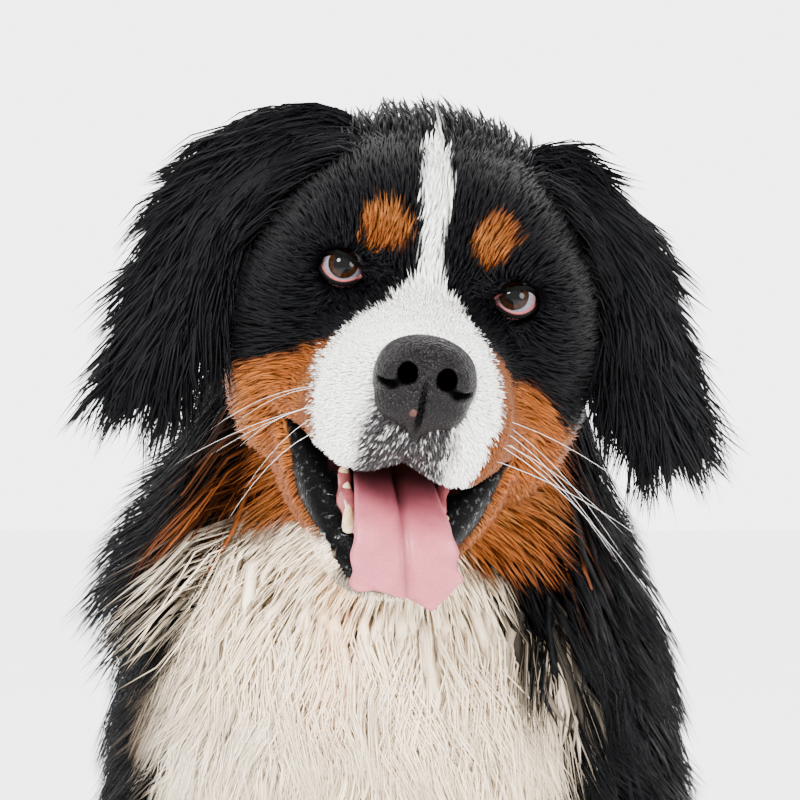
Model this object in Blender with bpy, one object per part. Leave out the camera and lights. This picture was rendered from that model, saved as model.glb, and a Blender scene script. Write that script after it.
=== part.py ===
"""A life-size sitting Bernese mountain dog as a still model, in metres, +Z up, facing -Y.

The whole animal is one field of rounded volumes with named sizes, blended where they meet.
Each node is the part of that field that lies in its own region, and the regions are 0.3 mm apart.
The long coat is a core at half the depth of the coat, with flat tapered locks rooted in it.
"""

import itertools
import math

import bmesh
import bpy
import numpy as np
from mathutils import Matrix, Vector
from mathutils.bvhtree import BVHTree

GAP = 0.0004  # between the nodes, where one surface is parted
CLEARANCE = 0.0003  # between a node and what is fitted to it
CORE_SHARE = 0.5  # the core reaches half way from the skin to the tips of the coat

# The head's own frame: origin midway between the eyes, X to the dog's left, -Y to the nose, Z up.
EYE_MIDDLE = np.array([0.018, -0.255, 0.830])
HEAD_TILT = math.radians(10.7)  # the left eye is the lower one
HEAD_TURN = math.radians(1.7)
HEAD_NOD = math.radians(4.0)
EYE_OUT = 0.0455  # half the distance between the pupils
EYE_BACK = 0.0050
EYE_RADIUS = 0.0118
NOSE = np.array([0.0, -0.121, -0.0370])
NOSE_RADII = np.array([0.0262, 0.0175, 0.0228])
MOUTH_CORNER = np.array([0.0, 0.010, -0.080])
MOUTH_OPEN = math.radians(29.0)
CHIN = np.array([0.0, -0.054, -0.142])
TAIL_ROUTE = ((0.0, 0.415, 0.125), (0.0, 0.530, 0.030), (0.070, 0.680, 0.052), (0.235, 0.740, 0.046))


def turned(axis, angle):
    return np.array(Matrix.Rotation(angle, 3, axis))


HEAD_AXES = turned("Z", HEAD_TURN) @ turned("X", HEAD_NOD) @ turned("Y", HEAD_TILT)


def head_to_world(point):
    return HEAD_AXES @ np.asarray(point, float) + EYE_MIDDLE


def blended(a, b, reach):
    """The nearer of two distances, rounded where they are within reach of each other."""
    share = np.maximum(reach - np.abs(a - b), 0.0) / reach
    return np.minimum(a, b) - share * share * reach * 0.25


def hollowed(body, hole, reach):
    return -blended(-body, hole, reach)


class Ball:
    """An ellipsoid. lean turns it about X, and positive tips its top towards -Y."""

    def __init__(self, centre, radii, blend, coat, lean=0.0, paired=False, lie=(0.0, 0.3, -1.0)):
        self.centre = np.array(centre, float)
        self.radii = np.array(radii, float)
        self.axes = turned("X", math.radians(lean))
        self.blend, self.coat, self.paired, self.lie = blend, coat, paired, np.array(lie, float)

    def distance(self, p, share):
        local = (p - self.centre) @ self.axes
        radii = self.radii + share * self.coat
        near = np.linalg.norm(local / radii, axis=1)
        slope = np.linalg.norm(local / (radii * radii), axis=1)
        return near * (near - 1.0) / np.maximum(slope, 1e-9)


class Limb:
    """A round bar that tapers from start to end."""

    def __init__(self, start, end, radius, end_radius, blend, coat, paired=False, lie=(0.0, 0.3, -1.0)):
        self.start, self.end = np.array(start, float), np.array(end, float)
        self.radius, self.end_radius = radius, end_radius
        self.blend, self.coat, self.paired, self.lie = blend, coat, paired, np.array(lie, float)

    def distance(self, p, share):
        way = self.end - self.start
        along = np.clip((p - self.start) @ way / (way @ way), 0.0, 1.0)
        off = np.linalg.norm(p - self.start - along[:, None] * way, axis=1)
        return off - (self.radius + (self.end_radius - self.radius) * along) - share * self.coat


DOWN = (0.0, 0.15, -1.0)
BODY = (
    Ball((0, 0.055, 0.435), (0.125, 0.142, 0.250), 0.05, 0.034, lean=38.5, lie=(0, 0.55, -0.85)),
    Ball((0, -0.100, 0.475), (0.112, 0.085, 0.118), 0.06, 0.050, lie=(0, -0.15, -1)),
    Ball((0.083, -0.035, 0.535), (0.056, 0.093, 0.130), 0.05, 0.036, lean=-20, paired=True, lie=(0, 0.35, -1)),
    Limb((0.096, -0.110, 0.455), (0.106, -0.035, 0.350), 0.062, 0.050, 0.04, 0.028, paired=True, lie=DOWN),
    Limb((0, 0.175, 0.352), (0, 0.325, 0.215), 0.114, 0.130, 0.06, 0.036, lie=(0, 0.55, -0.85)),
    Ball((0, 0.130, 0.245), (0.100, 0.125, 0.085), 0.05, 0.030, lean=35, lie=(0, 0.2, -1)),
    Ball((0, 0.335, 0.165), (0.140, 0.122, 0.150), 0.06, 0.040, lie=(0, 0.4, -1)),
    Limb((0.100, 0.275, 0.175), (0.150, 0.105, 0.225), 0.100, 0.066, 0.05, 0.034, paired=True, lie=(0, 0.5, -0.85)),
    Limb((0.160, 0.100, 0.210), (0.146, 0.240, 0.075), 0.052, 0.036, 0.03, 0.018, paired=True, lie=(0, 0.4, -0.9)),
    Limb((0.146, 0.240, 0.050), (0.165, 0.105, 0.038), 0.036, 0.030, 0.02, 0.010, paired=True, lie=(0, -0.4, -0.9)),
    Limb((0.106, -0.045, 0.345), (0.104, -0.108, 0.140), 0.044, 0.030, 0.03, 0.014, paired=True, lie=DOWN),
    Limb((0.104, -0.108, 0.140), (0.106, -0.128, 0.060), 0.030, 0.032, 0.02, 0.010, paired=True, lie=DOWN),
    Limb((0, -0.025, 0.585), (0.010, -0.105, 0.765), 0.108, 0.074, 0.05, 0.040, lie=(0, 0.10, -1)),
    Ball((0.004, -0.125, 0.625), (0.076, 0.056, 0.085), 0.05, 0.050, lie=(0, -0.10, -1)),
)

TAIL_STEPS = 7
TAIL_RADII = (0.036, 0.012)
TAIL_COAT = 0.032


def curve_point(route, along):
    a, b, c, d = (np.array(point) for point in route)
    back = 1.0 - along
    return back**3 * a + 3 * back**2 * along * b + 3 * back * along**2 * c + along**3 * d


def tail_forms():
    """The tail bone as short bars along its curve on the floor."""
    radius_at = lambda along: TAIL_RADII[0] + (TAIL_RADII[1] - TAIL_RADII[0]) * along
    forms = []
    for step in range(TAIL_STEPS):
        start, end = step / TAIL_STEPS, (step + 1) / TAIL_STEPS
        a, b = curve_point(TAIL_ROUTE, start), curve_point(TAIL_ROUTE, end)
        forms.append(Limb(a, b, radius_at(start), radius_at(end), 0.03, TAIL_COAT, lie=b - a))
    return tuple(forms)


FOREPAW = np.array([0.108, -0.140, 0.0])
HINDPAW = np.array([0.172, 0.062, 0.0])
PAW_RADII = (0.040, 0.046, 0.034)
TOE_RADII = (0.0150, 0.0290, 0.0195)
TOE_OUT = (-0.0300, -0.0105, 0.0105, 0.0300)
TOE_AHEAD = (0.024, 0.038, 0.038, 0.024)
TOE_HEIGHT = 0.0200


def paw_forms(place):
    """A round paw with four arched toes, forward of the place under the joint above it."""
    forms = [Ball(place + (0, -0.004, 0.034), PAW_RADII, 0.02, 0.006, paired=True, lie=(0, -1, -0.6))]
    for out, ahead in zip(TOE_OUT, TOE_AHEAD):
        centre = place + (out, -ahead, TOE_HEIGHT)
        forms.append(Ball(centre, TOE_RADII, 0.006, 0.004, lean=14, paired=True, lie=(0, -1, -0.4)))
    return tuple(forms)


HEAD = (
    Ball((0, 0.084, 0.004), (0.077, 0.092, 0.066), 0.02, 0.016),
    Ball((0.028, 0.036, 0.019), (0.040, 0.044, 0.034), 0.02, 0.009, paired=True),
    Ball((0.044, 0.010, 0.012), (0.022, 0.018, 0.013), 0.016, 0.005, paired=True),
    Ball((0.062, 0.052, -0.022), (0.026, 0.056, 0.036), 0.03, 0.012, paired=True),
    Ball((0.062, 0.056, -0.064), (0.026, 0.044, 0.042), 0.03, 0.024, paired=True),
    Limb((0, 0.004, -0.037), (0, -0.100, -0.047), 0.034, 0.029, 0.024, 0.004),
    Limb((0.021, -0.002, -0.050), (0.017, -0.090, -0.052), 0.031, 0.027, 0.02, 0.004, paired=True),
    Ball((0.0260, -0.072, -0.062), (0.0185, 0.036, 0.0260), 0.014, 0.004, paired=True),
    Limb((0.034, -0.058, -0.070), (0.054, 0.004, -0.074), 0.0140, 0.0100, 0.018, 0.004, paired=True),
)
JAW = (
    Limb((0.048, 0.060, -0.080), (0.014, -0.044, -0.136), 0.0240, 0.0140, 0.02, 0.006, paired=True),
    Ball(CHIN, (0.023, 0.020, 0.015), 0.016, 0.008),
    Limb((0.0500, 0.006, -0.092), (0.0250, -0.046, -0.134), 0.0090, 0.0080, 0.012, 0.002, paired=True),
    Ball((0, 0.035, -0.112), (0.046, 0.070, 0.036), 0.03, 0.016),
)


def wedge(p):
    """The open mouth as a wedge that grows forward from the corners of the lips."""
    back = p - MOUTH_CORNER
    rise, drop = math.radians(-6.0), MOUTH_OPEN
    roof = back[:, 2] * math.cos(rise) + back[:, 1] * math.sin(rise)
    floor = -back[:, 2] * math.cos(drop) + back[:, 1] * math.sin(drop)
    return np.maximum(roof, floor)


MOUTH_HOLLOW = Limb((0, 0.006, -0.084), (0, -0.050, -0.119), 0.036, 0.018, 0.01, 0.0)
PALATE = -0.072  # the hollow reaches up to here
SOCKET = Ball((EYE_OUT, EYE_BACK - 0.010, -0.001), (0.0150, 0.0140, 0.0105), 0.008, 0.0, paired=True)


def mirrored(p):
    return np.column_stack((np.abs(p[:, 0]), p[:, 1], p[:, 2]))


def joined(forms, p, share):
    """The forms blended into one distance, where a paired form stands on both sides."""
    both = mirrored(p)
    total = None
    for form in forms:
        d = form.distance(both if form.paired else p, share)
        total = d if total is None else blended(total, d, form.blend)
    return total


def head_field(p, share):
    local = (p - EYE_MIDDLE) @ HEAD_AXES
    skull = joined(HEAD, local, share)
    jaw = joined(JAW, local, share)
    whole = blended(skull, jaw, 0.012)
    whole = hollowed(whole, wedge(local), 0.006)
    whole = hollowed(whole, np.maximum(MOUTH_HOLLOW.distance(local, 0.0), local[:, 2] - PALATE), 0.006)
    return hollowed(whole, SOCKET.distance(mirrored(local), 0.0), 0.010)


TRUNK = BODY + tail_forms()
PAWS = paw_forms(FOREPAW) + paw_forms(HINDPAW)


def field(p, share=CORE_SHARE):
    """Distance in metres from the dog's surface, at a share of the coat's depth above the skin."""
    body = blended(joined(TRUNK, p, share), joined(PAWS, p, share), 0.014)
    return blended(body, head_field(p, share), 0.04)



def tetrahedra():
    """The six tetrahedra that fill a cube, each as four corners in the same sense."""
    found = []
    for order in itertools.permutations(range(3)):
        corners = [np.zeros(3, int)]
        for axis in order:
            corners.append(corners[-1] + np.eye(3, dtype=int)[axis])
        if np.linalg.det(np.array(corners[1:])) < 0:
            corners[1], corners[2] = corners[2], corners[1]
        found.append(corners)
    return found


def is_odd(order):
    return sum(a > b for a, b in itertools.combinations(order, 2)) % 2 == 1


def closed_surface(values, axes):
    """The zero surface of values on a grid, as points and triangles that always close."""
    counts = values.shape
    flat = values.ravel()
    total = len(flat)
    inside = values < 0
    cell_count = np.zeros([n - 1 for n in counts], np.int8)
    for i, j, k in itertools.product((0, 1), repeat=3):
        ends = [n - 1 for n in counts]
        cell_count += inside[i : i + ends[0], j : j + ends[1], k : k + ends[2]]
    cells = np.argwhere((cell_count > 0) & (cell_count < 8))
    strides = np.array([counts[1] * counts[2], counts[2], 1])
    triangles = []
    for corners in tetrahedra():
        ids = np.stack([(cells + corner) @ strides for corner in corners], axis=1)
        below = flat[ids] < 0
        kinds = below @ np.array([1, 2, 4, 8])
        for kind in range(1, 15):
            rows = ids[kinds == kind]
            low = [n for n in range(4) if kind >> n & 1]
            high = [n for n in range(4) if not kind >> n & 1]
            order = high + low if len(low) == 3 else low + high
            flip = is_odd(order) != (len(low) == 3)
            a, b, c, d = (rows[:, n] for n in order)
            edge = lambda u, v: np.minimum(u, v) * total + np.maximum(u, v)
            if len(low) == 2:
                ring = [edge(a, c), edge(a, d), edge(b, d), edge(b, c)]
                parts = [(0, 1, 2), (0, 2, 3)]
            else:
                ring = [edge(a, b), edge(a, c), edge(a, d)]
                parts = [(0, 1, 2)]
            for part in parts:
                chosen = [ring[n] for n in (part[::-1] if flip else part)]
                triangles.append(np.stack(chosen, axis=1))
    triangles = np.concatenate(triangles)
    edges, faces = np.unique(triangles.ravel(), return_inverse=True)
    start, end = edges // total, edges % total
    share = np.clip(flat[start] / (flat[start] - flat[end]), NEAR_CORNER, 1 - NEAR_CORNER)

    def place(ids):
        where = np.stack(np.unravel_index(ids, counts), axis=1)
        return np.stack([axes[n][where[:, n]] for n in range(3)], axis=1)

    points = place(start) + share[:, None] * (place(end) - place(start))
    return points, faces.reshape(-1, 3)


NEAR_CORNER = 0.04  # no point of a surface comes nearer than this share of an edge to its end


def object_from(name, points, faces):
    mesh = bpy.data.meshes.new(name)
    mesh.from_pydata(np.asarray(points, float).tolist(), [], [[int(n) for n in face] for face in faces])
    mesh.update()
    made = bpy.data.objects.new(name, mesh)
    bpy.context.scene.collection.objects.link(made)
    return made


def applied(target):
    """The object with its modifiers made real."""
    graph = bpy.context.evaluated_depsgraph_get()
    mesh = bpy.data.meshes.new_from_object(target.evaluated_get(graph))
    target.modifiers.clear()
    target.data = mesh
    return target


def combined(target, others, operation):
    """One Boolean of the target with closed mesh objects, which are then removed."""
    group = bpy.data.collections.new("operands")
    for other in others:
        group.objects.link(other)
    modifier = target.modifiers.new("Boolean", "BOOLEAN")
    modifier.solver = "MANIFOLD"
    modifier.operation = operation
    modifier.operand_type = "COLLECTION"
    modifier.collection = group
    applied(target)
    for other in others:
        bpy.data.objects.remove(other)
    bpy.data.collections.remove(group)
    return target


def copied(source):
    copy = source.copy()
    copy.data = source.data.copy()
    bpy.context.scene.collection.objects.link(copy)
    return copy


def largest_body(target):
    """Keeps the largest closed surface of a mesh, and drops loose scraps and sealed hollows."""
    shape = bmesh.new()
    shape.from_mesh(target.data)
    left, bodies = set(shape.faces), []
    while left:
        front = [left.pop()]
        body = set(front)
        while front:
            for edge in front.pop().edges:
                for face in edge.link_faces:
                    if face in left:
                        left.discard(face)
                        body.add(face)
                        front.append(face)
        bodies.append(body)
    keep = max(bodies, key=lambda body: sum(face.calc_area() for face in body))
    bmesh.ops.delete(shape, geom=[face for face in shape.faces if face not in keep], context="FACES")
    shape.to_mesh(target.data)
    shape.free()
    return target


def grown(source, by):
    """A copy of a solid with its surface moved out, to cut a neighbour clear of it."""
    copy = copied(source)
    shape = bmesh.new()
    shape.from_mesh(copy.data)
    shape.normal_update()
    moves = [vert.normal * by * min(vert.calc_shell_factor(), 2.5) for vert in shape.verts]
    for vert, move in zip(shape.verts, moves):
        vert.co += move
    shape.to_mesh(copy.data)
    shape.free()
    return copy


def is_closed(mesh):
    shape = bmesh.new()
    shape.from_mesh(mesh)
    closed = all(edge.is_manifold for edge in shape.edges) and all(vert.is_manifold for vert in shape.verts)
    shape.free()
    return closed


def simplified(target, triangles, walls=()):
    """The same solid with about so many triangles, or a few more where fewer would open it.

    What lies near a wall, the surface of another node, stays as it is.
    """
    now = sum(len(face.vertices) - 2 for face in target.data.polygons)
    free = [n for n, vert in enumerate(target.data.vertices) if not touches(vert.co, walls)]
    target.vertex_groups.new(name="free").add(free, 1.0, "REPLACE")
    full = target.data
    while triangles < now:
        fewer = target.modifiers.new("Decimate", "DECIMATE")
        fewer.ratio = triangles / now
        fewer.vertex_group = "free"
        fewer.use_collapse_triangulate = True
        if is_closed(applied(target).data):
            break
        target.data = full
        triangles *= 1.04
    target.vertex_groups.clear()
    return target


def touches(point, walls):
    return any(wall.find_nearest(point, WALL_REACH)[0] is not None for wall in walls)


def flesh(name, low, high, step, triangles, distance=field):
    """The part of a field in a box, as a closed mesh with about so many triangles."""
    low, high = np.array(low, float), np.array(high, float)
    axes = [np.arange(low[n] - 2 * step, high[n] + 3 * step, step) for n in range(3)]
    points = np.stack(np.meshgrid(*axes, indexing="ij"), -1).reshape(-1, 3)
    middle, half = (low + high) / 2, (high - low) / 2
    outside = (np.abs(points - middle) - half).max(axis=1)
    values = np.maximum(distance(points), outside)
    made = object_from(name, *closed_surface(values.reshape([len(a) for a in axes]), axes))
    return simplified(largest_body(made), triangles)


BOX_FACES = ((0, 1, 3, 2), (4, 6, 7, 5), (0, 4, 5, 1), (2, 3, 7, 6), (0, 2, 6, 4), (1, 5, 7, 3))
FAR = 1.2  # longer than the dog, for cutters that stand for half of space


def block(low, high):
    return object_from("block", list(itertools.product(*zip(low, high))), BOX_FACES)


def half_space(point, normal, gap=0.0):
    """Everything on the side that a plane's normal points to, set back by a gap."""
    normal = Vector(normal).normalized()
    turn = Vector((0, 0, 1)).rotation_difference(normal).to_matrix().to_4x4()
    made = block((-FAR, -FAR, gap), (FAR, FAR, FAR))
    made.data.transform(Matrix.Translation(Vector(point)) @ turn)
    return made


def lofted(name, rings, tip=None):
    """A closed solid through rings of as many points each, with a flat start and a flat or pointed end."""
    count = len(rings[0])
    points = np.concatenate([np.asarray(ring, float) for ring in rings])
    faces = [tuple(range(count))[::-1]]
    for ring in range(len(rings) - 1):
        for n in range(count):
            a, b = ring * count + n, ring * count + (n + 1) % count
            faces.append((a, b, b + count))
            faces.append((a, b + count, a + count))
    last = (len(rings) - 1) * count
    if tip is None:
        faces.append(tuple(range(last, last + count)))
    else:
        points = np.concatenate((points, [tip]))
        faces += [(last + n, last + (n + 1) % count, len(points) - 1) for n in range(count)]
    made = object_from(name, points, faces)
    shape = bmesh.new()
    shape.from_mesh(made.data)
    bmesh.ops.triangulate(shape, faces=shape.faces[:])
    if shape.calc_volume(signed=True) < 0:
        bmesh.ops.reverse_faces(shape, faces=shape.faces[:])
    shape.to_mesh(made.data)
    shape.free()
    return made


def unit(vector):
    return np.asarray(vector, float) / np.linalg.norm(vector)


LIE_REACH = 0.018  # forms within about this distance of the nearest share in the way the coat lies
NORMAL_STEP = 0.0015


def slope_of(p, share):
    """Unit vectors straight out of the surface."""
    found = np.zeros_like(p)
    for axis in range(3):
        step = np.zeros(3)
        step[axis] = NORMAL_STEP
        found[:, axis] = field(p + step, share) - field(p - step, share)
    return found / np.linalg.norm(found, axis=1)[:, None]


def coat_at(p):
    """The way the coat lies at each point and how deep it is there."""
    both = mirrored(p)
    side = np.where(p[:, 0] < 0, -1.0, 1.0)
    forms = TRUNK + PAWS
    distances, ways, depths = [], [], []
    for form in forms:
        distances.append(form.distance(both if form.paired else p, 0.0))
        way = np.tile(unit(form.lie), (len(p), 1))
        if form.paired:
            way[:, 0] *= side
        ways.append(way)
        depths.append(form.coat)
    local = (p - EYE_MIDDLE) @ HEAD_AXES
    both = mirrored(local)
    away = local - NOSE
    away = (away / np.linalg.norm(away, axis=1)[:, None]) @ HEAD_AXES.T
    for form in HEAD + JAW:
        distances.append(form.distance(both if form.paired else local, 0.0))
        ways.append(away)
        depths.append(form.coat)
    distances = np.array(distances)
    weights = np.exp(-(distances - distances.min(axis=0)) / LIE_REACH)
    weights /= weights.sum(axis=0)
    way = (weights[:, :, None] * np.array(ways)).sum(axis=0)
    return way, (weights * np.array(depths)[:, None]).sum(axis=0)


def flattened(way, normals):
    way = way - (way * normals).sum(axis=1)[:, None] * normals
    return way / np.maximum(np.linalg.norm(way, axis=1), 1e-9)[:, None]


LOCK_SINK = 0.009  # how far below the core a lock starts
LOCK_STATIONS = (0.0, 0.22, 0.52, 0.80, 1.0)  # shares of a lock's length
LOCK_HEIGHTS = (None, 0.45, 0.80, 0.95, 1.0)  # shares of the coat's outer half, above the core
LOCK_WIDTHS = (0.62, 1.0, 0.95, 0.60)
LOCK_THICKS = (0.8, 1.0, 0.9, 0.6)
LOCK_WANDER = math.radians(16.0)


def places_on(core, chance):
    """Points drawn evenly over a solid."""
    mesh = core.data
    mesh.calc_loop_triangles()
    corners = np.array([[mesh.vertices[n].co for n in face.vertices] for face in mesh.loop_triangles])
    a, b, c = corners[:, 0], corners[:, 1], corners[:, 2]
    areas = np.linalg.norm(np.cross(b - a, c - a), axis=1)
    picked = chance.choice(len(areas), LOCK_CANDIDATES, p=areas / areas.sum())
    u, v = chance.random((2, LOCK_CANDIDATES, 1))
    fold = u + v > 1
    u, v = np.where(fold, 1 - u, u), np.where(fold, 1 - v, v)
    return a[picked] + u * (b - a)[picked] + v * (c - a)[picked]


def lock_stations(roots, length, chance):
    """The middle of each lock at its stations, with the normal of the coat there."""
    lengths = length * chance.uniform(0.85, 1.15, len(roots))
    wander = chance.uniform(-1, 1, len(roots)) * LOCK_WANDER
    p, before, stations = roots, 0.0, []
    for station, height in zip(LOCK_STATIONS, LOCK_HEIGHTS):
        normals = slope_of(p, CORE_SHARE)
        way, depth = coat_at(p)
        way = flattened(way, normals)
        turn = (wander * (station * 2 - 0.6))[:, None]
        way = way * np.cos(turn) + np.cross(normals, way) * np.sin(turn)
        p = p + way * (lengths * (station - before))[:, None]
        before = station
        normals = slope_of(p, CORE_SHARE)
        rise = -LOCK_SINK if height is None else height * depth * (1 - CORE_SHARE)
        p = p - normals * (field(p) - rise)[:, None]
        p[:, 2] = np.maximum(p[:, 2], LOCK_FLOOR)
        stations.append(np.stack((p, normals), axis=1))
    return np.stack(stations, axis=1)


def lock(stations, width, thick):
    """One flat lock through its stations, its sides laid as high over the body as its middle."""
    rings = []
    for k in range(len(stations) - 1):
        centre, normal = stations[k]
        ahead = unit(stations[k + 1][0] - stations[max(k - 1, 0)][0])
        across = unit(np.cross(normal, ahead))
        up = np.cross(ahead, across)
        half = width * LOCK_WIDTHS[k] / 2
        high = up * thick * LOCK_THICKS[k] / 2
        flat = np.array([centre, centre + across * half, centre - across * half])
        heights = field(flat)
        middle, left, right = flat - normal * (heights - heights[0])[:, None]
        rings.append([left, middle + high, right, middle - high])
    return lofted("lock", rings, stations[-1][0])


def tree_of(made):
    return BVHTree.FromPolygons([v.co for v in made.data.vertices], [f.vertices for f in made.data.polygons])


def locks(core, count, length, width, thick, seed, allowed, walls):
    """Flat tapered locks rooted evenly over a core, out to the tips of the coat and clear of other nodes."""
    chance = np.random.default_rng(seed)
    roots = places_on(core, chance)
    roots = roots[(np.abs(field(roots)) < ON_SURFACE) & allowed(roots)]
    stations = lock_stations(roots, length, chance)
    away = np.full(len(roots), FAR)
    made = []
    while len(made) < count and away.max() > width * ROOT_SPACING:
        n = int(np.argmax(away))
        one = lock(stations[n], width * chance.uniform(0.85, 1.15), thick)
        tree = tree_of(one)
        if any(tree.overlap(wall) for wall in walls):
            bpy.data.objects.remove(one)
            away[n] = 0.0
            continue
        made.append(one)
        away = np.minimum(away, np.linalg.norm(roots - roots[n], axis=1))
    return made


LOCK_CANDIDATES = 700
ROOT_SPACING = 0.55  # roots are at least this share of a lock's width apart
ON_SURFACE = 0.004  # roots lie this near the coat's core, and so not on a cut face
LOCK_FLOOR = 0.012
LOCK_CLEARANCE = 0.0020  # a lock stays at least this far from other nodes
LOCK_REACH = 0.12  # how far from a core its locks may come near another node
WALL_REACH = 0.0040  # what lies this near another node isn't simplified


# Where the body is parted: each region is a block, and planes are given by a point and a normal.
HEAD_CUT = ((0.0, 0.105, -0.050), (0.0, 0.866, -0.503))  # in the head's frame, towards the neck
THROAT_CUT = ((0.0, 0.030, -0.165), (0.0, 0.300, -0.950))  # in the head's frame, towards the neck
NECK_CUT = ((0.0, -0.060, 0.600), (0.0, -0.500, 0.870))  # towards the neck
LOIN_CUT = ((0.0, 0.175, 0.315), (0.0, 0.720, -0.694))  # behind the ribs, towards the tail
KNEE_CUT = ((0.1255, 0.027, 0.2946), (0.228, 0.725, -0.648))  # between elbow and knee, towards the knee
HINDLEG = ((0.095, -0.030, -0.100), (0.360, 0.400, 0.345))
FORELEG = ((0.045, -0.300, -0.100), (0.360, 0.050, 0.370))
TAIL = ((-0.300, 0.445, -0.100), (0.500, 1.000, 0.145))
FOREPAW_TOP = 0.085
HINDPAW_BOX = ((0.080, -0.080, -0.100), (0.300, 0.125, 0.100))
FOREPAW_BOX = ((0.040, -0.230, -0.100), (0.200, -0.050, FOREPAW_TOP))
JAW_CUT = ((0.0, 0.010, -0.081), (0.0, 0.259, -0.966))  # in the head's frame, towards the chin


def sided(region, side):
    """A region on the left, or its mirror image on the right."""
    (x0, y0, z0), (x1, y1, z1) = region
    return ((x0, y0, z0), (x1, y1, z1)) if side > 0 else ((-x1, y0, z0), (-x0, y1, z1))


def widened(region, by=GAP):
    low, high = region
    return tuple(v - by for v in low), tuple(v + by for v in high)


def floor_cut(target):
    """Cuts a resting piece flat at the level of the floor."""
    return combined(target, [half_space((0, 0, 0), (0, 0, -1))], "DIFFERENCE")


def kept_in(target, *cutters):
    """A copy of what lies in every cutter."""
    piece = copied(target)
    for cutter in cutters:
        combined(piece, [cutter], "INTERSECT")
    return largest_body(piece)


def knee_side(side, gap=0.0):
    point, normal = KNEE_CUT
    return half_space((point[0] * side, *point[1:]), (normal[0] * side, *normal[1:]), gap)


def head_side(gap=0.0):
    """All that is ahead of the nape and above the throat."""
    made = half_space(*in_world(HEAD_CUT, -1), gap=gap)
    return combined(made, [half_space(*in_world(THROAT_CUT, -1), gap=gap)], "INTERSECT")


def in_world(plane, sense=1):
    """A plane of the head's frame as a point and a normal in the world."""
    point, normal = plane
    return head_to_world(point), HEAD_AXES @ np.array(normal) * sense


def parted(whole, name, region, wider):
    """Takes one node out of the rest of the body, with a gap all round it."""
    piece = kept_in(whole, region)
    combined(whole, [wider], "DIFFERENCE")
    piece.name = name
    return piece


def trunk_nodes():
    """Neck, chest, hindquarters, tail and legs, cut from one surface so that they meet flush."""
    whole = flesh("trunk", (-0.30, -0.34, -0.03), (0.40, 0.86, 0.96), TRUNK_STEP, TRUNK_TRIANGLES)
    floor_cut(whole)
    combined(whole, [head_side(-GAP)], "DIFFERENCE")
    nodes = {"neck": parted(whole, "neck", half_space(*NECK_CUT, gap=GAP), half_space(*NECK_CUT))}
    tail_middle = curve_point(TAIL_ROUTE, 0.5)
    tail_way = curve_point(TAIL_ROUTE, 0.52) - tail_middle
    tail = parted(whole, "tail_root", block(*TAIL), block(*widened(TAIL)))
    nodes["tail_tip"] = parted(
        tail, "tail_tip", half_space(tail_middle, tail_way, GAP), half_space(tail_middle, tail_way)
    )
    nodes["tail_root"] = largest_body(tail)
    for name, side in (("left", 1), ("right", -1)):
        region = combined(block(*sided(HINDLEG, side)), [knee_side(side)], "INTERSECT")
        wider = combined(block(*widened(sided(HINDLEG, side))), [knee_side(side, -GAP)], "INTERSECT")
        leg = parted(whole, "hindleg_" + name, region, wider)
        combined(leg, [block(*widened(sided(HINDPAW_BOX, side)))], "DIFFERENCE")
        nodes["hindleg_" + name] = largest_body(leg)
        leg = parted(whole, "foreleg_" + name, block(*sided(FORELEG, side)), block(*widened(sided(FORELEG, side))))
        combined(leg, [block(*widened(sided(FOREPAW_BOX, side)))], "DIFFERENCE")
        nodes["foreleg_" + name] = largest_body(leg)
    nodes["hindquarters"] = parted(whole, "hindquarters", half_space(*LOIN_CUT, gap=GAP), half_space(*LOIN_CUT))
    nodes["chest"] = largest_body(whole)
    return nodes


def horn(root, tip, radius, bend, sides=6):
    """A claw or a tooth: a tapered cone that bends by a share of its length along bend."""
    root, tip, bend = np.asarray(root, float), np.asarray(tip, float), np.asarray(bend, float)
    along = unit(tip - root)
    across = unit(np.cross(along, (0.31, 0.17, 0.94)))
    up = np.cross(along, across)
    turns = np.arange(sides) * 2 * math.pi / sides
    circle = np.cos(turns)[:, None] * across + np.sin(turns)[:, None] * up
    middle = (root + tip) / 2 + bend
    return lofted("horn", [root + circle * radius, middle + circle * radius * 0.72], tip)


CLAW_RADIUS = 0.0042
CLAW_LENGTH = 0.019


def paw(name, place, region, side):
    """A paw with its four claws, each rooted in the front of its toe."""
    made = flesh(name, *region, PAW_STEP, PAW_TRIANGLES)
    combined(made, [block(*region)], "INTERSECT")
    claws = []
    for out, ahead in zip(TOE_OUT, TOE_AHEAD):
        front = place + (out, -ahead - TOE_RADII[1] + 0.004, 0.0165)
        root = front + (0, 0.007, 0.002)
        tip = front + (out * 0.06, -CLAW_LENGTH + 0.007, -0.0095)
        claws.append(horn(root, tip, CLAW_RADIUS, (0, -0.0015, 0.0020)))
    combined(made, claws, "UNION")
    floor_cut(made)
    if side < 0:
        made.data.transform(Matrix.Scale(-1, 4, (1, 0, 0)))
        made.data.flip_normals()
    return largest_body(made)


EYE_SPLAY = math.radians(15.0)  # the eyes look a little outwards
LID_THICK = 0.0021
LID_OVER = 0.0013  # the lids stand this far off the eyeball
LID_HALF = np.array([0.0116, 0.0082])  # half the width and height of the ring that the lids make
LID_STEPS = 16
LID_SIDES = 6


def eye_centre(side):
    return np.array([EYE_OUT * side, EYE_BACK, 0.0])


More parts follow.
